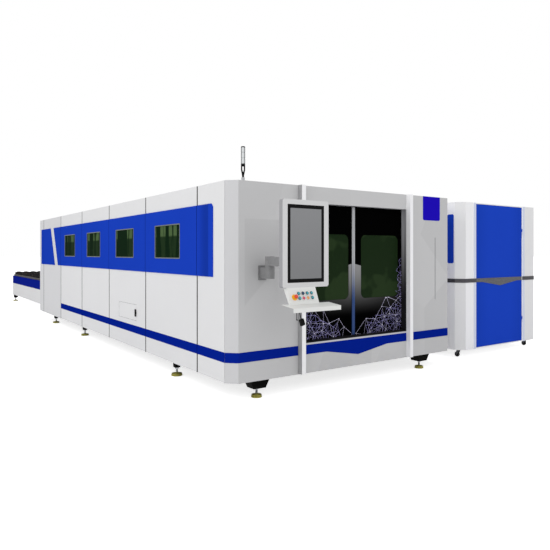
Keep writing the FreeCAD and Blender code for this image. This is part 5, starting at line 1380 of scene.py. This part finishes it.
    def _front(self) -> None:
        """Dress the front covers, frame, sill lip, lining and fins."""
        low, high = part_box("door_liner")
        middle = (low.x + high.x) / 2
        groove = self.front + 0.6 * MM
        groove_low, groove_high = self.groove_span

        def in_groove(centre: Vector, normal: Vector) -> bool:
            """Whether a face lies on the floor of the slim upright groove."""
            return groove < centre.y < groove + MM and groove_low < centre.z < groove_high

        skin = self.finishes.front_skin(self.left)
        for node in ("front_left_panel", "front_right_panel"):
            panel = self.refine(node, 0.9 * MM, skin)
            # Painted shading: the faces that turn the corner get their own tone.
            self.cover(panel, CHAMFER_PAINTED_SHADING, lambda centre, normal: abs(normal.x) > 0.5)
            self.cover(panel, GROOVE_GREY, in_groove)
        portal = self.refine("front_portal", 0.9 * MM, skin)
        # Painted shadow at the threshold: the portal's upward faces at the doorway's lower edge are
        # black.
        self.cover(
            portal,
            PLASTIC_BLACK,
            lambda centre, normal: normal.z > 0.3 and abs(centre.z - low.z) < 12 * MM,
        )
        self._sill(middle, low.z)
        lining = self.refine("door_liner", 0.6 * MM, self.finishes.lining(*self.lining_span))
        # Painted shadow at the threshold: the lining's lowest 60 mm are black.
        self.cover(lining, PLASTIC_BLACK, lambda centre, normal: centre.z < low.z + 0.06)
        fins = self.refine("door_fins", 1.0 * MM, BRIGHT_WHITE)
        # Painted shade on the fins' upright sides, all but the right fin's left side.
        self.cover(
            fins,
            FIN_SIDE_PAINTED_SHADE,
            lambda centre, normal: abs(normal.x) > 0.8 and (normal.x > 0 or centre.x < middle),
        )

    def _sill(self, middle: float, height: float) -> None:
        """Add the pale lip and a black strip, painted shadow of the threshold, along the doorway's lower
        edge.

        Args:
            middle: The doorway's middle, in x.
            height: Height of its lower edge.
        """
        half = self.opening_width / 2
        # The black strip is painted shadow of the threshold.
        for name, base, top, coating in (
            ("sill_lip", -32 * MM, -13 * MM, LIP_WHITE),
            ("sill_shadow_strip", -12.5 * MM, -0.2 * MM, PLASTIC_BLACK),
        ):
            strip = self.bench.block(
                name,
                (middle - half, self.front - 2 * MM, height + base),
                (middle + half, self.front + 1 * MM, height + top),
            )
            self.bench.rounded(strip, 1.2 * MM, 3)
            self.keep(self.bench.add_to(strip, "front_portal"), coating)

    def _rear(self) -> None:
        """Dress the rear wall and its shutter."""
        self.refine("rear_wall", 0.9 * MM, WHITE)
        self.refine("rear_shutter", 1.0 * MM, UNIT_GREY)

    def _trim(self) -> None:
        """Soften the blue covers and give each its own blue."""
        trim = self.refine("blue_trim", 1.2 * MM, self.finishes.band(self.front + self.band_start))
        door_low, door_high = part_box("cabinet_door")
        cabinet = self.finishes.cabinet_blue(door_low.x, door_high.x)
        clear = 50 * MM
        front_face, beside = self.front + 10 * MM, self.right + clear
        band_start, band_end = self.front + self.band_start + 2 * clear, self.rear - self.end
        blank_start, blank_end = self._modules()[-2]

        def in_seam(centre: Vector, normal: Vector) -> bool:
            """Whether a face lies in an upright seam of the side bands."""
            slanted = blank_start + clear < centre.y < blank_end - clear
            upright = abs(normal.y) > 0.35 and abs(normal.z) < 0.2
            return upright and not slanted and band_start < centre.y < band_end and centre.x < beside

        self.cover(trim, STRIPE_BLUE, lambda centre, normal: centre.z < self.stripe_top)
        self.cover(
            trim,
            BLOCK_BLUE,
            lambda centre, normal: centre.y < front_face and centre.z > self.block_low,
        )
        self.cover(trim, cabinet, lambda centre, normal: centre.x > beside)
        self.cover(trim, SEAM_BLUE, in_seam)

    def _side_windows(self) -> None:
        """Dress the side windows' frames and panes."""
        self.refine("window_frames", 1.5 * MM, FRAME_METAL)
        pale, deep = tone(74, 96, 60), tone(7, 31, 12)
        glass = self.finishes.glass("side_glass", pale, deep, 1.70, (2.0, 8.0, 1.1))
        self.refine("window_panes", 0.5 * MM, glass)

    def _hatch(self) -> None:
        """Dress the service hatch and its turning latch."""
        self.refine("hatch_door", 0.6 * MM, WHITE)
        self.refine("hatch_latch", 1.2 * MM, PLASTIC_BLACK, 3)


@dataclass(frozen=True)
class Web:
    """A printed web of straight lines in a leaf's lower outer corner.

    Attributes:
        name: What the web is called.
        cell: Mean distance between its knots.
        line: Width of a line.
        inner: Distance from the doorway's middle at which it starts.
        low_top: Height of its upper edge at the inner end.
        top: Height of its upper edge at the outer end.
        climb: Distance over which the upper edge rises.
        rim_top: Height that it reaches beside the window.
        seed: Start of its random shifts.
    """

    name: str
    cell: float
    line: float
    inner: float
    low_top: float
    top: float
    climb: float
    rim_top: float
    seed: int


@dataclass
class SlidingDoors(SubAssembly):
    """The two sliding leaves with their dark windows and printed webs.

    Attributes:
        reach: Distance from the middle at which a web ends, behind the frame.
        sill: Height at which a web starts, behind the sill.
        rim: Distance from the middle where the strip beside the window starts.
        margin: How far inside the doorway a knot has to lie to be dotted.
        film: Thickness of the printed film.
        knot: Radius of a printed knot.
        jitter: How far a knot may stray, as a share of the web's cell.
        centre: Where the leaves meet, in x, read from the frame.
    """

    reach: float = 0.826
    sill: float = 0.522
    rim: float = 0.772
    margin: float = 0.02
    film: float = 0.3 * MM
    knot: float = 5.5 * MM
    jitter: float = 0.42
    centre: float = field(init=False)

    def build(self) -> None:
        """Build both leaves, their webs and the bar between them."""
        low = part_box("left_door_leaf")[0]
        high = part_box("right_door_leaf")[1]
        self.centre = (low.x + high.x) / 2
        skin = self.finishes.door_skin(self.centre)
        pale, deep = tone(38, 54, 31), tone(26, 41, 22)
        glass = self.finishes.glass("door_glass", pale, deep, 0.5, (2.2, 2.2, 2.4))
        for side, sign, seed, rim_top in (("left", -1, 3, 1.12), ("right", 1, 8, 1.42)):
            self.refine(f"{side}_door_leaf", 1.5 * MM, skin)
            self.refine(f"{side}_door_pane", 0.8 * MM, glass)
            wide = Web(
                name=f"{side}_wide_web",
                cell=0.150,
                line=4.0 * MM,
                inner=0.09,
                low_top=0.60,
                top=0.90,
                climb=0.46,
                rim_top=0.92,
                seed=seed,
            )
            fine = Web(
                name=f"{side}_fine_web",
                cell=0.060,
                line=3.1 * MM,
                inner=0.22,
                low_top=0.64,
                top=0.89,
                climb=0.56,
                rim_top=rim_top,
                seed=seed + 20,
            )
            self.keep(self._web(f"{side}_door_leaf", sign, fine, False), WEB_FINE)
            self.keep(self._web(f"{side}_door_leaf", sign, wide, True), WEB_LINE)
        self.refine("door_edge_bar", 2.0 * MM, self.finishes.meeting_bar(), 3)

    def _web(self, node: str, sign: int, web: Web, knots: bool) -> Object:
        """Lay a web of random triangles on a leaf as thin film lines.

        Args:
            node: The leaf's CAD node.
            sign: 1 for the right leaf, -1 for the left.
            web: The web's sizes.
            knots: Whether its knots are dotted.

        Returns:
            The web.
        """
        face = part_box(node)[0].y
        piece = self._grid(sign, web, face)
        self.bench.pick_faces(piece, lambda centre, normal: not self._in_web(web, centre))
        bpy.ops.mesh.delete(type="FACE")
        for spot, direction in (
            ((self.centre + sign * self.reach, face, 0.0), (sign, 0.0, 0.0)),
            ((0.0, face, self.sill), (0.0, 0.0, -1.0)),
            ((0.0, face, web.rim_top + 0.03), (0.0, 0.0, 1.0)),
        ):
            bpy.ops.mesh.select_all(action="SELECT")
            bpy.ops.mesh.bisect(plane_co=spot, plane_no=direction, clear_outer=True)
        self.bench.leave_edit()
        places = [tuple(vertex.co) for vertex in piece.data.vertices]
        wire = piece.modifiers.new("lines", "WIREFRAME")
        wire.thickness = web.line
        wire.use_even_offset = False
        wire.use_boundary = True
        self.bench.apply(piece)
        self._press(piece, face)
        if knots:
            self._dot(f"{web.name}_knots", node, [place for place in places if self._clear(place)], face)
        return self.bench.add_to(piece, node)

    def _grid(self, sign: int, web: Web, face: float) -> Object:
        """Stand a grid of shifted triangles on a leaf's face, a little wider than its web.

        Args:
            sign: 1 for the right leaf, -1 for the left.
            web: The web's sizes.
            face: The leaf's front face, in y.

        Returns:
            The grid.
        """
        width, height = self.reach - web.inner + web.cell, web.rim_top - self.sill + web.cell
        bpy.ops.object.select_all(action="DESELECT")
        bpy.ops.mesh.primitive_grid_add(
            x_subdivisions=round(width / web.cell), y_subdivisions=round(height / web.cell), size=1.0
        )
        piece = bpy.context.object
        piece.name = web.name
        piece.rotation_euler = (math.pi / 2, 0.0, 0.0)
        piece.scale = (width, height, 1.0)
        piece.location = (
            self.centre + sign * (self.reach + web.cell / 2 - width / 2),
            face,
            self.sill - web.cell / 2 + height / 2,
        )
        self.bench.settle(piece)
        self.bench.edit_all()
        stray = web.cell * self.jitter
        bpy.ops.transform.vertex_random(offset=stray, uniform=1.0, normal=0.0, seed=web.seed)
        bpy.ops.transform.resize(value=(1.0, 0.0, 1.0), center_override=(0.0, face, 0.0))
        bpy.ops.mesh.quads_convert_to_tris(quad_method="SHORTEST_DIAGONAL")
        self.bench.leave_edit()
        return piece

    def _press(self, piece: Object, face: float) -> None:
        """Flatten a web's lines to the film's thickness and lay them before the leaf's face."""
        depths = [vertex.co.y for vertex in piece.data.vertices]
        squash = self.film / (max(depths) - min(depths))
        self.bench.edit_all()
        bpy.ops.transform.resize(value=(1.0, squash, 1.0), center_override=(0.0, face, 0.0))
        bpy.ops.transform.translate(value=(0.0, -self.film / 2 - 0.1 * MM, 0.0))
        bpy.ops.mesh.normals_make_consistent(inside=False)
        self.bench.leave_edit()

    def _clear(self, place: Point) -> bool:
        """Whether a knot lies well inside the doorway."""
        sideways = abs(place[0] - self.centre) < self.reach - self.margin
        return sideways and place[2] > self.sill + self.margin

    def _in_web(self, web: Web, spot: Vector) -> bool:
        """Whether a place on the leaf belongs to the web.

        Args:
            web: The web's sizes.
            spot: The place.

        Returns:
            True inside the web's outline.
        """
        out = abs(spot.x - self.centre)
        if out > self.rim and spot.z < web.rim_top:
            return True
        share = min(1.0, max(0.0, (out - web.inner) / web.climb))
        return out > web.inner and spot.z < web.low_top + (web.top - web.low_top) * share

    def _dot(self, name: str, node: str, places: Sequence[Point], face: float) -> None:
        """Add a small bright disc at each knot.

        Args:
            name: What the discs are called, as one piece.
            node: The leaf's CAD node.
            places: The knots.
            face: The leaf's front face, in y.
        """
        outline = [(0.0, 0.0), (self.knot, 0.0), (self.knot, self.film), (0.0, self.film)]
        disc = self.bench.turned("knot", outline, (0.0, 0.0, 0.0), Axis.Y, 8)
        front = face - (self.film + 0.15 * MM)
        discs = self.bench.copies(disc, [(x, front, z) for x, _, z in places])
        bpy.data.objects.remove(disc)
        self.keep(self.bench.add_to(self.bench.join(name, discs), node), WEB_KNOT)


@dataclass
class Bed(SubAssembly):
    """The welded bed, its rails, the moving gantry and the pallets."""

    def build(self) -> None:
        """Dress the bed, gantry, carriage, head and pallets."""
        self.blacken_brackets(self.refine("base_frame", 3.0 * MM, FRAME_DARK))
        self.refine("bed_rails", 1.0 * MM, STEEL)
        self.refine("gantry", 3.0 * MM, WHITE)
        self.refine("carriage", 2.0 * MM, ALUMINIUM)
        self.refine("cutting_head", 1.5 * MM, ALUMINIUM)
        slats = self.finishes.slats()
        for node in ("pallet_upper", "pallet_lower"):
            self.bench.paint_node(node, slats)


@dataclass
class ExchangeTable(SubAssembly):
    """The table behind the machine."""

    def build(self) -> None:
        """Dress the table's frame and skirt."""
        self.blacken_brackets(self.refine("exchange_frame", 3.0 * MM, TABLE_BLUE))
        self.refine("exchange_skirt", 0.6 * MM, WHITE)


@dataclass
class Feet(SubAssembly):
    """Levelling feet: a turned pad, a threaded screw and its jam nut.

    Attributes:
        pad_height: Height of the pad.
        screw_radius: Radius of the screw.
        screw_top: Where the screw enters its bracket.
        nut_height: Height of the jam nut.
        nut_radius: Corner radius of the jam nut.
        pitch: Pitch of the modelled thread rings.
    """

    pad_height: float = 38 * MM
    screw_radius: float = 13 * MM
    screw_top: float = 100 * MM
    nut_height: float = 18 * MM
    nut_radius: float = 23 * MM
    pitch: float = 5 * MM

    def build(self) -> None:
        """Model the feet and set them in their places."""
        spots = self._places()
        pads = []
        for radius in sorted({radius for _, radius in spots}):
            pad = self._pad(radius)
            pads += self.bench.copies(pad, [place for place, size in spots if size == radius])
            bpy.data.objects.remove(pad)
        turned = self.bench.join("foot_pads_turned", pads)
        self.keep(self.bench.stand_for(self.bench.smooth(turned), "foot_pads"), PAD_BRASS)
        screw = self._screw()
        copies = self.bench.copies(screw, [place for place, _ in spots])
        screws = self.bench.join("foot_screws_turned", copies)
        bpy.data.objects.remove(screw)
        self.keep(self.bench.stand_for(self.bench.smooth(screws), "foot_screws"), STEEL)

    def _pad(self, radius: float) -> Object:
        """Turn a pad with a broad base, a waist and a domed top.

        Args:
            radius: Radius of its base.

        Returns:
            The pad.
        """
        top = self.pad_height
        outline = [
            (0.0, 0.0),
            (radius - 2 * MM, 0.0),
            (radius, 2 * MM),
            (radius, top * 0.30),
            (radius - 1.5 * MM, top * 0.36),
            (radius - 7 * MM, top * 0.42),
            (radius - 7 * MM, top * 0.52),
            (radius - 3 * MM, top * 0.58),
            (radius - 3 * MM, top * 0.70),
            (radius - 6 * MM, top * 0.80),
            (radius * 0.5, top * 0.88),
            (radius * 0.42, top),
            (0.0, top),
        ]
        return self.bench.turned("foot_pad", outline, (0, 0, 0), Axis.Z, 40)

    def _places(self) -> list[tuple[Point, float]]:
        """Read each foot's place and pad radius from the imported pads.

        The pads' points are gathered in square cells. A cell's mean lies near its pad, and
        means that lie close together belong to one pad that crosses a cell's border.
        """
        cell, apart = 0.3, 0.15
        mesh = self.bench.nodes["foot_pads"].data
        cells: dict[tuple[int, int], list[Vector]] = {}
        for vertex in mesh.vertices:
            key = (round(vertex.co.x / cell), round(vertex.co.y / cell))
            cells.setdefault(key, []).append(vertex.co.copy())
        spots: list[tuple[Vector, float]] = []
        for points in cells.values():
            middle = sum(points, Vector()) / len(points)
            if all((middle - spot).to_2d().length > apart for spot, _ in spots):
                near = [v.co for v in mesh.vertices if (v.co - middle).to_2d().length < apart + 0.01]
                xs, ys = [p.x for p in near], [p.y for p in near]
                spot = Vector(((min(xs) + max(xs)) / 2, (min(ys) + max(ys)) / 2, 0.0))
                spots.append((spot, round((max(xs) - min(xs)) / 2, 3)))
        return [(tuple(spot), radius) for spot, radius in spots]

    def _screw(self) -> Object:
        """Turn the screw with its thread rings, and add the hexagonal nut."""
        root = self.screw_radius * 0.88
        low, high = self.pad_height, self.screw_top - self.nut_height
        outline = [(0.0, low)]
        for ring in range(int((high - low) / self.pitch)):
            base = low + self.pitch * ring
            outline += [(root, base), (self.screw_radius, base + self.pitch / 2)]
        outline += [(root, high), (root, self.screw_top), (0.0, self.screw_top)]
        screw = self.bench.turned("screw", outline, (0, 0, 0), Axis.Z, 20)
        bpy.ops.object.select_all(action="DESELECT")
        bpy.ops.mesh.primitive_cylinder_add(
            vertices=6,
            radius=self.nut_radius,
            depth=self.nut_height,
            location=(0, 0, self.screw_top - self.nut_height / 2),
        )
        nut = self.bench.settle(bpy.context.object)
        self.bench.rounded(nut, 1.5 * MM, 2)
        return self.bench.join("screw", [screw, nut])


@dataclass
class SignalLamp(SubAssembly):
    """The light tower on the roof.

    Attributes:
        radius: Radius of the tube.
        rings: Lamp sections.
        ribs: Ribs on each section.
        tube_share: How much of the lamp's height the tube takes, under its cap.
        collar: Radius of the tube's plain ends, as a share of its radius.
        post_height: Height of the pale post under the loop.
    """

    radius: float = 22 * MM
    rings: int = 3
    ribs: int = 6
    tube_share: float = 0.94
    collar: float = 0.9
    post_height: float = 48 * MM

    def build(self) -> None:
        """Turn the ribbed tube and its cap, and dress the bracket."""
        low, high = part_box("tower_lamp")
        middle = (low + high) / 2
        height = high.z - low.z
        tube_height = height * self.tube_share
        tube = self.bench.turned(
            "lamp_tube", self._tube(tube_height), (middle.x, middle.y, low.z), Axis.Z, 36
        )
        self.keep(self.bench.stand_for(tube, "tower_lamp"), self.finishes.lamp_tube())
        cap_outline = [
            (0.0, 0.0),
            (self.radius, 0.0),
            (self.radius, height * 0.03),
            (self.radius * self.collar, height * 0.055),
            (0.0, height * 0.06),
        ]
        at = (middle.x, middle.y, low.z + tube_height)
        cap = self.bench.turned("lamp_cap", cap_outline, at, Axis.Z, 36)
        self.keep(self.bench.add_to(cap, "tower_bracket"), PLASTIC_BLACK)
        bracket = self.refine("tower_bracket", 1.0 * MM, PLASTIC_BLACK)
        post_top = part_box("tower_bracket")[0].z + self.post_height
        self.cover(bracket, LAMP_POST, lambda centre, normal: centre.z < post_top)

    def _tube(self, height: float) -> list[tuple[float, float]]:
        """Draw the ribbed tube's outline.

        Args:
            height: The tube's height.

        Returns:
            Radius and height of each point.
        """
        narrow, groove = self.radius * self.collar, self.radius * 0.965
        outline = [(0.0, 0.0)]
        for ring in range(self.rings):
            base = height * ring / self.rings
            top = height * (ring + 1) / self.rings
            outline += [(narrow, base), (narrow, base + 4 * MM)]
            for rib in range(self.ribs):
                start = base + 5 * MM + (top - base - 6 * MM) * rib / self.ribs
                outline += [(self.radius, start), (groove, start + (top - base) / self.ribs / 2)]
        return outline + [(narrow, height), (0.0, height)]


@dataclass
class Console(SubAssembly):
    """The swing arm, the upright display case, the desk with its buttons and the hanging socket.

    Attributes:
        buttons: Push buttons on the desk, counted from 1.
        navy_button: Which of them is navy; the others are teal.
        lens_radius: Radius of a button's pale middle.
        slope: Run and rise of the button panel.
        lead_radius: Radius of the socket's lead.
        lead_route: The lead's points, from its top end.
    """

    buttons: int = 6
    navy_button: int = 4
    lens_radius: float = 9.9 * MM
    slope: tuple[float, float] = (0.055, 0.132)
    lead_radius: float = 4 * MM
    lead_route: tuple[Point, ...] = (
        (0.0, 0.0, 0.0),
        (0.0, 0.0, -0.028),
        (0.006, 0.0, -0.059),
        (0.016, 0.0, -0.088),
    )

    def build(self) -> None:
        """Build the arm, case, desk, controls and socket."""
        for node in ("arm_bracket", "arm_link"):
            arm = self.refine(node, 3.0 * MM, ARM_GREY, 3)
            # Painted shade on the arm's undersides and rounded edges.
            self.cover(
                arm, ARM_EDGE_PAINTED_SHADE, lambda centre, normal: normal.z < -0.3 or 0.3 < abs(normal.z) < 0.95
            )
        case = self.refine("console_housing", 4.0 * MM, CONSOLE_GREY, 4)
        # Painted shade on every face of the case that doesn't look forward.
        self.cover(case, CONSOLE_SIDE_PAINTED_SHADE, lambda centre, normal: normal.y > -0.7)
        self.refine("console_bezel", 0.6 * MM, PLASTIC_BLACK)
        self.refine("console_screen", 0.5 * MM, self.finishes.screen())
        self._desk()
        for number in range(1, self.buttons + 1):
            navy = number == self.navy_button
            rim, lens = (PLASTIC_NAVY, LENS_NAVY) if navy else (PLASTIC_TEAL, LENS_TEAL)
            self._button(f"push_button_{number}", rim, lens)
        lamps = self.refine("indicator_lamps", 1.0 * MM, PLASTIC_PINK, 3)
        middle = sum(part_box("indicator_lamps"), Vector()).x / 2
        self.cover(lamps, PLASTIC_AMBER, lambda centre, normal: centre.x > middle)
        self.refine("estop_ring", 0.5 * MM, PLASTIC_YELLOW)
        self.refine("estop_cap", 1.5 * MM, PLASTIC_RED, 4)
        socket = self.refine("usb_socket", 1.5 * MM, PLASTIC_BLACK, 3)
        self._lead(socket)

    def _desk(self) -> None:
        """Dress the desk, with a dark underside round the socket's lead."""
        lead_low, lead_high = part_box("usb_lead")
        floor = lead_high.z + 2 * MM
        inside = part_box("console_desk")[0].y + 5 * MM
        near = 50 * MM

        def round_lead(centre: Vector, normal: Vector) -> bool:
            """Whether a face lies low in the desk, behind its front, near the lead."""
            return centre.z < floor and abs(centre.x - lead_low.x) < near and centre.y > inside

        self.cover(self.refine("console_desk", 0.8 * MM, DESK_WHITE), PLASTIC_BLACK, round_lead)

    def _button(self, node: str, rim: Coating, lens: Coating) -> None:
        """Give a push button a dark rim round a paler lens.

        Args:
            node: The button's CAD node.
            rim: The rim's coating.
            lens: The lens's coating.
        """
        low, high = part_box(node)
        middle = (low + high) / 2
        run, rise = self.slope
        axis = Vector((0.0, -rise, run)).normalized()

        def in_lens(centre: Vector, normal: Vector) -> bool:
            """Whether a face lies on the cap's top, inside the lens."""
            offset = centre - middle
            across = (offset - axis * offset.dot(axis)).length
            return normal.dot(axis) > 0.85 and across < self.lens_radius

        self.cover(self.refine(node, 1.0 * MM, rim, 3), lens, in_lens)

    def _lead(self, socket: Object) -> None:
        """Run the short lead from the desk to the socket.

        Args:
            socket: The piece on the lead's far end; not used.
        """
        low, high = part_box("usb_lead")
        start = Vector((low.x + self.lead_radius, (low.y + high.y) / 2, high.z))
        curve = bpy.data.curves.new("socket_lead", "CURVE")
        curve.dimensions = "3D"
        spline = curve.splines.new("NURBS")
        spline.points.add(len(self.lead_route) - 1)
        for point, offset in zip(spline.points, self.lead_route):
            point.co = (*(start + Vector(offset)), 1.0)
        spline.order_u = 3
        spline.use_endpoint_u = True
        spline.resolution_u = 12
        curve.bevel_depth = self.lead_radius
        curve.bevel_resolution = 6
        curve.use_fill_caps = True
        lead = bpy.data.objects.new("socket_lead", curve)
        bpy.context.scene.collection.objects.link(lead)
        lead.data.materials.append(self.finishes.coating(RUBBER))
        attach(lead, "console")
        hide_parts("usb_lead")
        self.pieces.append(lead)


@dataclass
class LaserCabinet(SubAssembly):
    """The free-standing cabinet with its blue door, belt and casters.

    Attributes:
        wheel_radius: Radius of a caster's wheel.
        tread: Width of its tread.
        bore: Radius of its axle's hole.
        hub: Radius of its hub's end faces.
        front: How far its face stands behind the enclosure's.
        door_width: Width of the blue door, without its knuckles.
    """

    wheel_radius: float = 37.5 * MM
    tread: float = 28 * MM
    bore: float = 6.1 * MM
    hub: float = 11 * MM
    front: float = 0.144
    door_width: float = 1.163

    def build(self) -> None:
        """Dress the cabinet and turn its wheels."""
        low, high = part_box("cabinet_door")
        edge = low.x + self.door_width
        self._shell(edge)
        door = self.refine("cabinet_door", 3.0 * MM, self.finishes.cabinet_blue(low.x, high.x))
        self.cover(door, TRIM_WHITE, lambda centre, normal: centre.x > edge + 1 * MM)
        side_belt = self.finishes.belt("side_belt", tone(92, 90, 96))
        self.refine("cabinet_belt", 1.5 * MM, side_belt)
        front_belt = self.finishes.belt("front_belt", tone(124, 125, 129))
        self.refine("cabinet_door_belt", 1.5 * MM, front_belt)
        self.refine("cabinet_units", 3.0 * MM, UNIT_GREY)
        for side in ("left", "right"):
            self.refine(f"{side}_caster_fork", 0.8 * MM, CASTER_STEEL)
        for place in ("front_left", "front_right", "rear_left", "rear_right"):
            self._wheel(f"{place}_wheel")

    def _shell(self, edge: float) -> None:
        """Dress the shell, each depth of its front in its own white.

        Args:
            edge: The blue door's right edge, in x.
        """
        shell = self.refine("cabinet_shell", 3.0 * MM, WHITE)
        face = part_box("front_left_panel")[0].y + self.front
        for coating, near, far in (
            (CABINET_WHITE, 0.0, 110 * MM),
            (BRIGHT_WHITE, -1 * MM, 1 * MM),
            (TRIM_WHITE, -20 * MM, -5 * MM),
        ):
            self.cover(
                shell,
                coating,
                lambda centre, normal: near < centre.y - face < far and normal.y < -0.5,
            )
        self.cover(
            shell, CABINET_WHITE, lambda centre, normal: centre.x > edge + 0.08 and normal.y < -0.5
        )
        # Painted light: the left flank is whitened against the enclosure's shadow.
        self.cover(shell, FLANK_PAINTED_LIGHT, lambda centre, normal: normal.x < -0.9)

    def _wheel(self, node: str) -> None:
        """Turn one wheel with a round tread and a hub.

        Args:
            node: The wheel's CAD node.
        """
        low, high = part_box(node)
        middle = (low + high) / 2
        radius, half, end = self.wheel_radius, self.tread / 2, (high.x - low.x) / 2
        left_half = [
            (self.bore, -end),
            (self.hub, -end),
            (radius * 0.42, -end + 1 * MM),
            (radius * 0.44, -half + 2 * MM),
            (radius * 0.78, -half + 3 * MM),
            (radius * 0.82, -half),
            (radius * 0.92, -half + 0.6 * MM),
            (radius * 0.985, -half * 0.6),
            (radius, -half * 0.2),
        ]
        right_half = [(across, -along) for across, along in reversed(left_half)]
        outline = [*left_half, *right_half, left_half[0]]
        wheel = self.bench.turned(f"{node}_turned", outline, middle, Axis.X, 40)
        self.keep(self.bench.stand_for(wheel, node), RUBBER)
        rim = radius * 0.79
        self.cover(wheel, PLASTIC_BLACK, lambda centre, normal: (centre - middle).yz.length < rim)


# ---------------------------------------------------------------- studio


@dataclass(frozen=True)
class SoftLamp:
    """A square soft lamp, placed from the enclosure's left front corner.

    Attributes:
        name: The lamp's name.
        at: Where it hangs.
        to: The point it faces.
        size: Its side.
        power: Its power in watts.
    """

    name: str
    at: Point
    to: Point
    size: float
    power: float


KEY_LAMP = SoftLamp("key_lamp", (-11.0, 1.4, 8.6), (2.8, 3.6, 1.0), 7.0, 400.0)
FILL_LAMP = SoftLamp("fill_lamp", (-4.6, -12.8, 6.2), (2.8, 2.2, 1.0), 6.0, 400.0)


@dataclass
class Studio:
    """Floor, light and camera.

    Attributes:
        camera_at: Where the camera stands, from the enclosure's left front corner.
        camera_turn: Its turn about Z, in degrees, from looking along +Y.
        lens: Focal length on a 36 mm sensor.
        shift: Upright shift of the picture, as a share of its width.
        sky: Strength of the even light.
        floor_grey: How much light the floor gives back.
        floor_lift: How much it glows to the camera and in reflections.
        lamps: The large lamp to the left and the front lamp.
        corner: The enclosure's left front corner on the floor, read from the frame.
    """

    camera_at: Point = (-2.700, -4.667, 1.5)
    camera_turn: float = -34.79
    lens: float = 35.77
    shift: float = -0.0404
    sky: float = 0.80
    floor_grey: float = 0.86
    floor_lift: float = 0.74
    lamps: tuple[SoftLamp, ...] = (KEY_LAMP, FILL_LAMP)
    corner: Vector = field(init=False)

    def build(self) -> None:
        """Set up the studio."""
        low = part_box("front_left_panel")[0]
        self.corner = Vector((low.x, low.y, 0.0))
        self._world()
        self._floor()
        for lamp in self.lamps:
            self._hang(lamp)
        self._camera()
        bpy.context.scene.view_settings.view_transform = "Standard"

    def _world(self) -> None:
        """Light evenly, and show white behind the object and in its reflections."""
        world = bpy.data.worlds.new("studio")
        bpy.context.scene.world = world
        weaver = Weaver.on(world)
        through = weaver.add("ShaderNodeLightPath").outputs["Is Transmission Ray"]
        seen = weaver.math("ADD", weaver.shown(), through, clamp=True)
        light = weaver.add("ShaderNodeBackground")
        light.inputs["Color"].default_value = (1.0, 1.0, 1.0, 1.0)
        strength = weaver.math("MULTIPLY_ADD", seen, 1.0 - self.sky, self.sky)
        weaver.feed(strength, light.inputs["Strength"])
        output = weaver.add("ShaderNodeOutputWorld")
        weaver.feed(light.outputs["Background"], output.inputs["Surface"])

    def _floor(self) -> None:
        """Lay a pale floor that shows white where nothing shades it."""
        bpy.ops.object.select_all(action="DESELECT")
        bpy.ops.mesh.primitive_plane_add(size=400.0, location=(0, 0, 0))
        floor = bpy.context.object
        floor.name = "studio_floor"
        material = bpy.data.materials.new("studio_floor")
        weaver = Weaver.on(material)
        base = weaver.add("ShaderNodeBsdfDiffuse")
        base.inputs["Color"].default_value = (self.floor_grey, self.floor_grey, self.floor_grey, 1.0)
        lift = weaver.add("ShaderNodeEmission")
        weaver.feed(weaver.math("MULTIPLY", weaver.shown(), self.floor_lift), lift.inputs["Strength"])
        total = weaver.add("ShaderNodeAddShader")
        weaver.feed(base.outputs[0], total.inputs[0])
        weaver.feed(lift.outputs[0], total.inputs[1])
        output = weaver.add("ShaderNodeOutputMaterial")
        weaver.feed(total.outputs[0], output.inputs["Surface"])
        floor.data.materials.append(material)

    def _hang(self, spec: SoftLamp) -> None:
        """Hang a lamp and turn it to its point."""
        light = bpy.data.lights.new(spec.name, "AREA")
        light.shape = "SQUARE"
        light.size = spec.size
        light.energy = spec.power
        lamp = bpy.data.objects.new(spec.name, light)
        bpy.context.scene.collection.objects.link(lamp)
        lamp.location = self.corner + Vector(spec.at)
        lamp.rotation_euler = (Vector(spec.to) - Vector(spec.at)).to_track_quat("-Z", "Y").to_euler()

    def _camera(self) -> None:
        """Stand the camera where the photograph was taken from."""
        camera = bpy.data.objects.new("camera", bpy.data.cameras.new("camera"))
        bpy.context.scene.collection.objects.link(camera)
        camera.location = self.corner + Vector(self.camera_at)
        camera.rotation_euler = (math.pi / 2, 0.0, math.radians(self.camera_turn))
        camera.data.lens = self.lens
        camera.data.sensor_width = 36.0
        camera.data.shift_y = self.shift
        camera.data.clip_end = 500.0
        bpy.context.scene.camera = camera


ASSEMBLIES = (Enclosure, SlidingDoors, Bed, ExchangeTable, Feet, SignalLamp, Console, LaserCabinet)


def main() -> None:
    """Build the machine's looks around its frame."""
    logging.basicConfig(level=logging.INFO, format="%(message)s")
    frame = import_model()
    bench = Bench(frame)
    finishes = Finishes(Effects())
    for assembly in ASSEMBLIES:
        part = assembly(bench, finishes)
        part.build()
        part.report()
    Studio().build()


if __name__ == "__main__":
    main()
